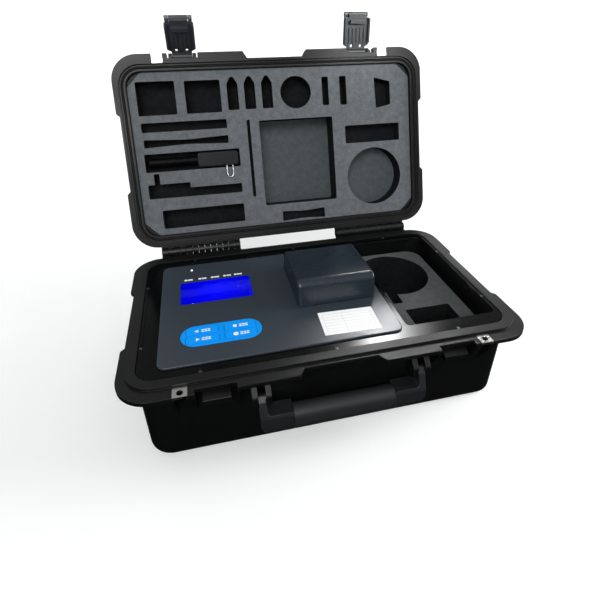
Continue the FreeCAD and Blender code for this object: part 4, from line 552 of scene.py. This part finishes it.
# Bare metals: the bright plates catch the light as white spots
STAINLESS = WorkedMetal("Brushed stainless steel, padlock plate", "c9c9c6", roughness=0.3)
STEEL_PIN = WorkedMetal("Ground steel, pin", "a8aaac", roughness=0.28)
SCREW_STEEL = WorkedMetal("Zinc-plated steel, screw", "9a9c9f", roughness=0.3)
CLAMP_ALUMINIUM = WorkedMetal("Rolled aluminium, clamp", "c4c6c8", roughness=0.35)
BRASS = WorkedMetal("Turned brass, standoff", "c9a24b", roughness=0.25)
WIRE = WorkedMetal("Drawn steel wire, loop", "d0d2d4", roughness=0.2)
# Green lacquer, glossy over the tracks
BOARD = SolderMask("Solder mask green, circuit board", "0d4a24", "2c7a45")
# Paper and inks: white and matt
LABEL_FILM = PrintedFilm("Matt paper label, white", "fdfefe", "f3f5f5")
PRINT_WHITE = PrintedFilm("Screen-printed ink, white", "f4f6f8", "e6e9ee", roughness=0.5)
PRINT_GREY = PrintedFilm("Printed rule, grey", "cfd3d4", "c2c6c8", roughness=0.6)
# The display's middle and width set where its glow is brightest
DISPLAY_CENTRE = mm(-124.0, 32.5, 106.5)
DISPLAY_WIDTH_MM = 93.0
DISPLAY = LitDisplay("Backlit liquid crystal, blue", "0408f6", DISPLAY_CENTRE, DISPLAY_WIDTH_MM)
# Clear, and seen only by what they reflect
DISPLAY_WINDOW = ClearGlass("Clear acrylic, display window", "f4f5ff")
LENS_GLASS = ClearGlass("Polished optical glass, lens", "f2f6f8")
# Milky, and lit from within
LAMP_LENS = LitLamp("Frosted epoxy, lit indicator lamp", "f4f7ff")

NODE_FINISH = {
    "base_shell": CASE_SHELL, "lid_shell": CASE_SHELL, "lid_seal": SEAL_RUBBER,
    "base_padlock_plate_left": STAINLESS, "base_padlock_plate_right": STAINLESS,
    "lid_padlock_plate_left": STAINLESS, "lid_padlock_plate_right": STAINLESS,
    "hinge_pin_left": STEEL_PIN, "hinge_pin_right": STEEL_PIN,
    "latch_pins": STEEL_PIN, "handle_pins": STEEL_PIN,
    "lever_pin_left": STEEL_PIN, "lever_pin_right": STEEL_PIN, "hood_pin": STEEL_PIN,
    "latch_body_left": LATCH_PLASTIC, "latch_body_right": LATCH_PLASTIC,
    "latch_lever_left": LEVER_PLASTIC, "latch_lever_right": LEVER_PLASTIC,
    "handle_frame": HANDLE_PLASTIC, "handle_grip": GRIP_RUBBER,
    "bezel": BEZEL_SHEET, "bezel_screws": BLACK_SCREW, "board_screws": SCREW_STEEL,
    "instrument_panel": PANEL_COAT, "lcd_module": DISPLAY, "lcd_window": DISPLAY_WINDOW,
    "status_led": LAMP_LENS,
    "keypad_frame": KEYPAD_BLUE, "key_1": KEY_BLUE, "key_2": KEY_BLUE, "key_3": KEY_BLUE, "key_4": KEY_BLUE,
    "key_board": BOARD, "main_board": BOARD, "lamp_board": BOARD, "detector_board": BOARD,
    "board_standoffs": BRASS, "instrument_housing": HOUSING_PLASTIC, "well_stand": HOUSING_PLASTIC,
    "battery_pack": BATTERY_WRAP, "battery_clamp": CLAMP_ALUMINIUM,
    "charge_socket": SOCKET_PLASTIC, "panel_label": LABEL_FILM,
    "well_block": BLACK_ANODISED, "well_collar": BLACK_ANODISED, "lens": LENS_GLASS,
    "hood": HOOD_COAT, "hood_bracket": HOOD_COAT,
    "pen_body": PEN_GREY, "pen_cap": PEN_BLACK, "pen_loop": WIRE,
}

# Width in millimetres of the real rounding on each carried-over piece's edges
EDGE_ROUNDING = {
    "base_shell": 0.7, "lid_shell": 0.7, "handle_frame": 0.9,
    "latch_body_left": 0.5, "latch_body_right": 0.5, "latch_lever_left": 0.5, "latch_lever_right": 0.5,
    "bezel": 0.25, "instrument_panel": 0.25, "keypad_frame": 0.25,
    "key_1": 0.15, "key_2": 0.15, "key_3": 0.15, "key_4": 0.15,
    "hood": 0.5, "hood_bracket": 0.3, "well_collar": 0.3, "pen_body": 0.4, "pen_cap": 0.3,
    "base_padlock_plate_left": 0.25, "base_padlock_plate_right": 0.25,
    "lid_padlock_plate_left": 0.25, "lid_padlock_plate_right": 0.25,
}
LEAST_ROUNDING = 0.12
ROUNDING_STEPS = 2
# The least angle in degrees that counts as an edge, and how far apart in metres two points are joined
ROUNDING_ANGLE = 32.0
WELD_REACH = 0.00002
# How much more the large faces count than the small ones in the shading
FACE_WEIGHT = 80
# How far apart in millimetres two points of a CAD mesh are joined, and the angle up to which faces are one
JOIN_REACH_MM = 0.01
FLAT_ANGLE = 0.8


class FinishShelf:
    """Builds each finish once and hands it out."""

    def __init__(self) -> None:
        """Starts with no materials built."""
        self.built: dict[str, bpy.types.Material] = {}

    def take(self, finish: Finish) -> bpy.types.Material:
        """Hands out a finish.

        Args:
            finish: the finish.

        Returns:
            Its material, built on first use.
        """
        if finish.name not in self.built:
            self.built[finish.name] = finish.build()
        return self.built[finish.name]

    def dress(self, item: bpy.types.Object, finish: Finish) -> None:
        """Puts a finish on the whole of an object.

        Args:
            item: the object.
            finish: the finish.
        """
        item.data.materials.clear()
        item.data.materials.append(self.take(finish))


SHELF = FinishShelf()


# Mesh helpers

def smooth_faces(mesh: bpy.types.Mesh) -> None:
    """Shades every face smooth.

    Args:
        mesh: the mesh.
    """
    mesh.polygons.foreach_set("use_smooth", [True] * len(mesh.polygons))
    mesh.update()


def round_edges(item: bpy.types.Object, width_mm: float) -> None:
    """Adds the modifiers that round sharp edges and shade the faces between them flat.

    Args:
        item: the object.
        width_mm: width of the rounding.
    """
    weld = item.modifiers.new("weld", "WELD")
    weld.merge_threshold = WELD_REACH
    bevel = item.modifiers.new("rounding", "BEVEL")
    bevel.width = width_mm * MM
    bevel.segments = ROUNDING_STEPS
    bevel.limit_method = "ANGLE"
    bevel.angle_limit = math.radians(ROUNDING_ANGLE)
    bevel.miter_outer = "MITER_ARC"
    bevel.use_clamp_overlap = True
    even = item.modifiers.new("even shading", "WEIGHTED_NORMAL")
    even.mode = "FACE_AREA"
    even.weight = FACE_WEIGHT
    smooth_faces(item.data)


def finish_piece(
    name: str,
    shape: bmesh.types.BMesh,
    body: Body,
    finish: Finish,
    smooth: bool = True,
) -> bpy.types.Object:
    """Turns a finished shape, in millimetres, into a piece that rides on its body.

    Args:
        name: the piece's name.
        shape: the shape, which is freed.
        body: the body it rides on.
        finish: the finish it wears.
        smooth: whether its faces are shaded smooth.

    Returns:
        The object.
    """
    shape.transform(Matrix.Scale(MM, 4))
    bmesh.ops.recalc_face_normals(shape, faces=shape.faces)
    mesh = bpy.data.meshes.new(name)
    shape.to_mesh(mesh)
    shape.free()
    piece = bpy.data.objects.new(name, mesh)
    bpy.context.scene.collection.objects.link(piece)
    mesh.materials.append(SHELF.take(finish))
    if smooth:
        smooth_faces(mesh)
    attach(piece, body.value)
    LOG.info("piece %s rides on %s: %d faces", name, body.value, len(mesh.polygons))
    return piece


def add_block(shape: bmesh.types.BMesh, centre: Sequence[float], size: Sequence[float]) -> None:
    """Adds a box to a shape.

    Args:
        shape: the shape, in millimetres.
        centre: the box's centre.
        size: its width, depth and height.
    """
    place = Matrix.Translation(centre) @ Matrix.Diagonal((*size, 1.0))
    bmesh.ops.create_cube(shape, size=1.0, matrix=place)


def add_disc(
    shape: bmesh.types.BMesh,
    centre: Sequence[float],
    radius: float,
    thickness: float,
    segments: int = 32,
    turn: Optional[Matrix] = None,
) -> None:
    """Adds a flat disc, or a plate with few sides, to a shape.

    Args:
        shape: the shape, in millimetres.
        centre: its centre.
        radius: its radius.
        thickness: its height.
        segments: sides round it.
        turn: a turn about its own centre, or None.
    """
    place = Matrix.Translation(centre) @ (turn or Matrix.Identity(4))
    bmesh.ops.create_cone(shape, cap_ends=True, segments=segments, radius1=radius, radius2=radius,
                          depth=thickness, matrix=place)


def bevel_all(shape: bmesh.types.BMesh, width: float, segments: int, least_angle: float = 30.0) -> None:
    """Bevels every edge of a shape that is sharper than an angle.

    Args:
        shape: the shape.
        width: the bevel's width.
        segments: its steps.
        least_angle: the least angle between faces, in degrees.
    """
    least = math.radians(least_angle)
    sharp = [edge for edge in shape.edges if len(edge.link_faces) == 2 and edge.calc_face_angle(0.0) > least]
    bmesh.ops.bevel(shape, geom=sharp, offset=width, offset_type="OFFSET", affect="EDGES",
                    segments=segments, profile=0.5, material=-1, clamp_overlap=True)


def copy_of_node(node: str) -> bmesh.types.BMesh:
    """Copies a CAD node's mesh and joins its loose triangles.

    Args:
        node: the node's name.

    Returns:
        The shape, in millimetres.
    """
    shape = bmesh.new()
    shape.from_mesh(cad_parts[node].data)
    shape.transform(Matrix.Scale(MM_PER_M, 4))
    bmesh.ops.remove_doubles(shape, verts=shape.verts, dist=JOIN_REACH_MM)
    bmesh.ops.dissolve_limit(shape, angle_limit=math.radians(FLAT_ANGLE), verts=shape.verts,
                             edges=shape.edges)
    return shape


# Sub-assemblies

@dataclass
class CarriedPieces:
    """The CAD pieces whose shape is right: each gets its finish and its rounded edges."""

    finishes: dict[str, Finish] = field(default_factory=lambda: dict(NODE_FINISH))
    rounding: dict[str, float] = field(default_factory=lambda: dict(EDGE_ROUNDING))

    def build(self) -> None:
        """Dresses every carried-over piece."""
        for name, finish in self.finishes.items():
            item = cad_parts[name]
            SHELF.dress(item, finish)
            round_edges(item, self.rounding.get(name, LEAST_ROUNDING))
            LOG.info("node %s wears %s", name, finish.name)


@dataclass
class FoamInserts:
    """The two cut foam blocks: soft knife-cut edges, with painted shade: the base's open face, the pocket
    floors and the pocket walls are painted darker than the lid's open face.

    Lengths are in millimetres. A face looks out of the block when the cosine of its angle to the
    open side is over the value of facing.
    """

    edge: float = 0.9
    edge_steps: int = 2
    skin_depth: float = 1.2
    facing: float = 0.8
    wide_floor_area: float = 4000.0

    def faces_out(self, body: Body) -> Vector:
        """The direction that a block's open face looks in.

        Args:
            body: the body that holds the block.

        Returns:
            A unit vector, at rest.
        """
        if body is Body.BASE:
            return Vector((0.0, 0.0, 1.0))
        return (Matrix.Rotation(-LID_OPEN, 3, "X") @ Vector((0.0, 0.0, -1.0))).normalized()

    def sort_faces(self, shape: bmesh.types.BMesh, out: Vector) -> None:
        """Gives each face its finish, by whether it is open, a wide pocket's floor or a cut.

        Args:
            shape: the block, in millimetres.
            out: the direction of its open face.
        """
        top = max(vert.co.dot(out) for vert in shape.verts)
        # Faces below the open skin get the darker finishes: painted shade in the pockets
        for face in shape.faces:
            depth = top - face.calc_center_median().dot(out)
            if face.normal.dot(out) > self.facing and depth < self.skin_depth:
                face.material_index = FoamSide.OPEN
            elif face.normal.dot(out) > self.facing and face.calc_area() > self.wide_floor_area:
                face.material_index = FoamSide.WIDE_FLOOR
            else:
                face.material_index = FoamSide.CUT

    def build(self) -> None:
        """Makes both inserts in place of their CAD nodes."""
        # The base's open face, the wide floors and the pocket walls wear darker copies of the foam: painted
        # shade
        blocks = (("lid_foam", Body.LID, FOAM_FACE, FOAM_SHADED_FLOOR),
                  ("base_foam", Body.BASE, FOAM_SHADED_FACE, FOAM_POCKET_SHADE))
        for node, body, face, floor in blocks:
            shape = copy_of_node(node)
            shape.normal_update()
            self.sort_faces(shape, self.faces_out(body))
            bevel_all(shape, self.edge, self.edge_steps)
            piece = finish_piece(f"{node}_cut", shape, body, face)
            for finish in (floor, FOAM_POCKET_SHADE):
                piece.data.materials.append(SHELF.take(finish))
            even = piece.modifiers.new("even shading", "WEIGHTED_NORMAL")
            even.weight = FACE_WEIGHT
            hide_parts(node)


@dataclass
class PanelPrint:
    """Printed marks on the panel, the keys and the label: plain shapes, in millimetres.

    The ink lies a hair above what it is printed on, with its lower side just under the surface.
    """

    panel_top: float = 109.5
    ink: float = 0.06
    sunk: float = 0.01
    mark_y: float = 64.0
    mark_x: tuple[float, ...] = (-160.0, -141.0, -124.0, -107.0, -92.0)
    dot_r: float = 2.1
    dot_shift: float = -3.8
    bar_shift: float = 2.0
    bar_size: tuple[float, float] = (7.0, 3.3)
    bar_change: float = 0.6
    sign_r: float = 3.0
    sign_shift: float = -6.0
    block_shift: float = 0.6
    block_size: tuple[float, float] = (2.9, 1.7)
    block_pitch: tuple[float, float] = (3.6, 1.35)
    blocks_in_row: int = 3
    label_centre: tuple[float, float, float] = (27.5, -70.5, 0.0)
    label_turn: float = -2.0
    rule_w: float = 0.35
    rule_count: int = 7
    rule_start: float = -16.0
    rule_pitch: float = 5.3
    rule_length: float = 60.0
    upright_x: tuple[float, ...] = (-30.0, -6.0, 30.0)
    upright_y: float = -0.1
    upright_length: float = 31.8

    def ink_height(self, top: Vector) -> float:
        """Finds the height of the ink on a face.

        Args:
            top: a corner of the face, in metres.

        Returns:
            The height of the ink's middle, in millimetres.
        """
        return top.z * MM_PER_M + self.ink / 2 - self.sunk

    def row_marks(self) -> None:
        """A plain row of dots and bars over the display."""
        shape = bmesh.new()
        z = self.panel_top + self.ink / 2
        length, width = self.bar_size
        for number, x in enumerate(self.mark_x):
            shorter = self.bar_change * (number % 2)
            add_disc(shape, (x + self.dot_shift, self.mark_y, z), self.dot_r, self.ink)
            add_block(shape, (x + self.bar_shift, self.mark_y, z), (length - shorter, width, self.ink))
        finish_piece("display_marks", shape, Body.BASE, PRINT_WHITE, smooth=False)

    def key_marks(self) -> None:
        """A sign on each key, a triangle, square or disc, with two rows of small blocks beside it."""
        signs = (("key_1", Body.KEY_1, 3, 90.0), ("key_2", Body.KEY_2, 4, 45.0),
                 ("key_3", Body.KEY_3, 3, -90.0), ("key_4", Body.KEY_4, 32, 0.0))
        step_x, step_y = self.block_pitch
        for node, body, sides, degrees in signs:
            low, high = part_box(node)
            centre = (low + high) * (MM_PER_M / 2)
            z = self.ink_height(high)
            shape = bmesh.new()
            turn = Matrix.Rotation(math.radians(degrees), 4, "Z")
            add_disc(shape, (centre.x + self.sign_shift, centre.y, z), self.sign_r, self.ink, sides, turn)
            for row in (-1, 1):
                for cell in range(self.blocks_in_row):
                    place = (centre.x + self.block_shift + step_x * cell, centre.y + step_y * row, z)
                    add_block(shape, place, (*self.block_size, self.ink))
            finish_piece(f"{node}_mark", shape, body, PRINT_WHITE, smooth=False)

    def label_rules(self) -> None:
        """Pale ruled lines of an empty table on the label."""
        z = self.ink_height(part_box("panel_label")[1])
        turn = Matrix.Rotation(math.radians(self.label_turn), 4, "Z")
        shape = bmesh.new()
        for number in range(self.rule_count):
            y = self.rule_start + number * self.rule_pitch
            add_block(shape, (0, y, z), (self.rule_length, self.rule_w, self.ink))
        for x in self.upright_x:
            add_block(shape, (x, self.upright_y, z), (self.rule_w, self.upright_length, self.ink))
        shape.transform(Matrix.Translation(self.label_centre) @ turn)
        finish_piece("label_rules", shape, Body.BASE, PRINT_GREY, smooth=False)

    def build(self) -> None:
        """Makes all the printed marks."""
        self.row_marks()
        self.key_marks()
        self.label_rules()


# The studio, in metres, watts and degrees

@dataclass(frozen=True)
class SoftLamp:
    """A square soft light that faces a target. Its beam is narrower the smaller its spread is."""

    name: str
    place: Vector
    target: Vector
    size: float
    power: float
    spread: float = 180.0
    highlights_only: bool = False

    def build(self) -> None:
        """Hangs the light in its place."""
        light = bpy.data.lights.new(self.name, "AREA")
        light.shape = "RECTANGLE"
        light.size = self.size
        light.size_y = self.size
        light.energy = self.power
        light.spread = math.radians(self.spread)
        item = bpy.data.objects.new(self.name, light)
        item.location = self.place
        item.rotation_euler = (self.target - self.place).to_track_quat("-Z", "Y").to_euler()
        item.visible_diffuse = not self.highlights_only
        bpy.context.scene.collection.objects.link(item)


LAMPS = (
    # Fills the right side of the lid and of the case
    SoftLamp("side_light", Vector((1.9, -0.15, 0.75)), mm(0, 40, 120), 0.9, 30.0),
    # Gives the polished bezel its streak, and lights nothing matt
    SoftLamp("glint_light", Vector((0.63, 0.98, 1.12)), mm(104, -78, 107), 0.26, 0.07, 9.0, True),
    # Picks the right latch out of the dark lid
    SoftLamp("latch_light", Vector((0.81, -1.54, 0.98)), mm(135, 255, 410), 0.12, 0.04, 4.0),
)


@dataclass
class Studio:
    """Pale floor, soft lights and the photograph's camera, on the axes that were found from the photo."""

    floor_colour: str = "f2f3f3"
    floor_radius: float = 5.0
    floor_roughness: float = 0.8
    floor_gloss: float = 0.1
    floor_glow: float = 0.2
    wall_bend: float = 3.0
    bend_steps: int = 12
    round_steps: int = 96
    join_reach: float = 1e-5
    key_towards: Vector = field(default_factory=lambda: Vector((-0.30, -0.78, 0.55)))
    key_width: float = 35.0
    key_power: float = 2.6
    sky_colour: str = "ffffff"
    sky_strength: float = 0.42
    sky_fade: float = 0.1
    focal_px: float = 442.64
    frame_px: float = 600.0
    principal_up_px: float = 69.03
    sensor_mm: float = 36.0
    near_limit: float = 0.01
    eye: Vector = field(default_factory=lambda: mm(-124.6, -470.4, 450.4))
    right: Vector = field(default_factory=lambda: Vector((0.973936, -0.226767, -0.005062)))
    up: Vector = field(default_factory=lambda: Vector((0.108543, 0.446350, 0.888251)))
    ahead: Vector = field(default_factory=lambda: Vector((0.199167, 0.865649, -0.459330)))

    def floor_profile(self, shape: bmesh.types.BMesh) -> list:
        """Draws the floor from its middle to the top of the wall that it bends up into.

        Args:
            shape: the shape to draw in.

        Returns:
            The points and edges drawn.
        """
        flat = self.floor_radius - self.wall_bend
        points = [shape.verts.new((0.0, 0.0, 0.0)), shape.verts.new((flat, 0.0, 0.0))]
        for step in range(1, self.bend_steps + 1):
            angle = math.radians(90.0 * step / self.bend_steps)
            out = self.floor_radius - self.wall_bend * (1.0 - math.sin(angle))
            points.append(shape.verts.new((out, 0.0, self.wall_bend * (1.0 - math.cos(angle)))))
        return points + [shape.edges.new(pair) for pair in zip(points, points[1:])]

    def floor_paint(self) -> bpy.types.Material:
        """Returns the matt pale paint of the floor, which glows a little so that it stays even."""
        material, _, shader, _ = start_material("Painted floor, pale")
        shader.inputs["Base Color"].default_value = linear(self.floor_colour)
        shader.inputs["Roughness"].default_value = self.floor_roughness
        shader.inputs["Specular IOR Level"].default_value = self.floor_gloss
        shader.inputs["Emission Color"].default_value = linear(self.floor_colour)
        shader.inputs["Emission Strength"].default_value = self.floor_glow
        return material

    def floor(self) -> None:
        """A large pale floor whose far edge curves up all round, so that no horizon shows."""
        shape = bmesh.new()
        bmesh.ops.spin(shape, geom=self.floor_profile(shape), cent=(0, 0, 0), axis=(0, 0, 1), angle=math.tau,
                       steps=self.round_steps, use_merge=True)
        bmesh.ops.remove_doubles(shape, verts=shape.verts, dist=self.join_reach)
        bmesh.ops.recalc_face_normals(shape, faces=shape.faces)
        if shape.faces[0].normal.z < 0:
            bmesh.ops.reverse_faces(shape, faces=shape.faces)
        mesh = bpy.data.meshes.new("floor")
        shape.to_mesh(mesh)
        shape.free()
        smooth_faces(mesh)
        ground = bpy.data.objects.new("floor", mesh)
        bpy.context.scene.collection.objects.link(ground)
        mesh.materials.append(self.floor_paint())
        ground.visible_glossy = False

    def key_light(self) -> None:
        """A wide soft key light, even over the whole floor."""
        light = bpy.data.lights.new("key_light", "SUN")
        light.angle = math.radians(self.key_width)
        light.energy = self.key_power
        item = bpy.data.objects.new("key_light", light)
        item.rotation_euler = self.key_towards.to_track_quat("Z", "Y").to_euler()
        bpy.context.scene.collection.objects.link(item)

    def camera(self) -> None:
        """The camera at the photograph's view."""
        data = bpy.data.cameras.new("camera")
        data.sensor_width = self.sensor_mm
        data.lens = self.sensor_mm * self.focal_px / self.frame_px
        data.shift_y = -self.principal_up_px / self.frame_px
        data.clip_start = self.near_limit
        item = bpy.data.objects.new("camera", data)
        turn = Matrix((self.right, self.up, -self.ahead)).transposed().to_4x4()
        item.matrix_world = Matrix.Translation(self.eye) @ turn
        bpy.context.scene.collection.objects.link(item)
        bpy.context.scene.camera = item

    def sky(self) -> None:
        """White light from above that fades out below the floor's level."""
        world = bpy.data.worlds.new("studio")
        world.use_nodes = True
        tree = world.node_tree
        back = tree.nodes["Background"]
        place = add_node(tree, "ShaderNodeTexCoord").outputs["Generated"]
        height = add_node(tree, "ShaderNodeSeparateXYZ", links={"Vector": place}).outputs["Z"]
        level = add_node(tree, "ShaderNodeMapRange",
                         {"From Min": -self.sky_fade, "From Max": self.sky_fade, "To Min": 0.0,
                          "To Max": self.sky_strength}, {"Value": height}, clamp=True)
        tree.links.new(level.outputs["Result"], back.inputs["Strength"])
        back.inputs["Color"].default_value = linear(self.sky_colour)
        bpy.context.scene.world = world

    def build(self) -> None:
        """Sets the whole stage."""
        self.floor()
        self.camera()
        self.key_light()
        for lamp in LAMPS:
            lamp.build()
        self.sky()
        bpy.context.scene.view_settings.view_transform = "Standard"


def main() -> None:
    """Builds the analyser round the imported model."""
    logging.basicConfig(level=logging.INFO, format="%(name)s: %(message)s")
    Studio().build()
    CarriedPieces().build()
    FoamInserts().build()
    PanelPrint().build()


if __name__ == "__main__":
    main()
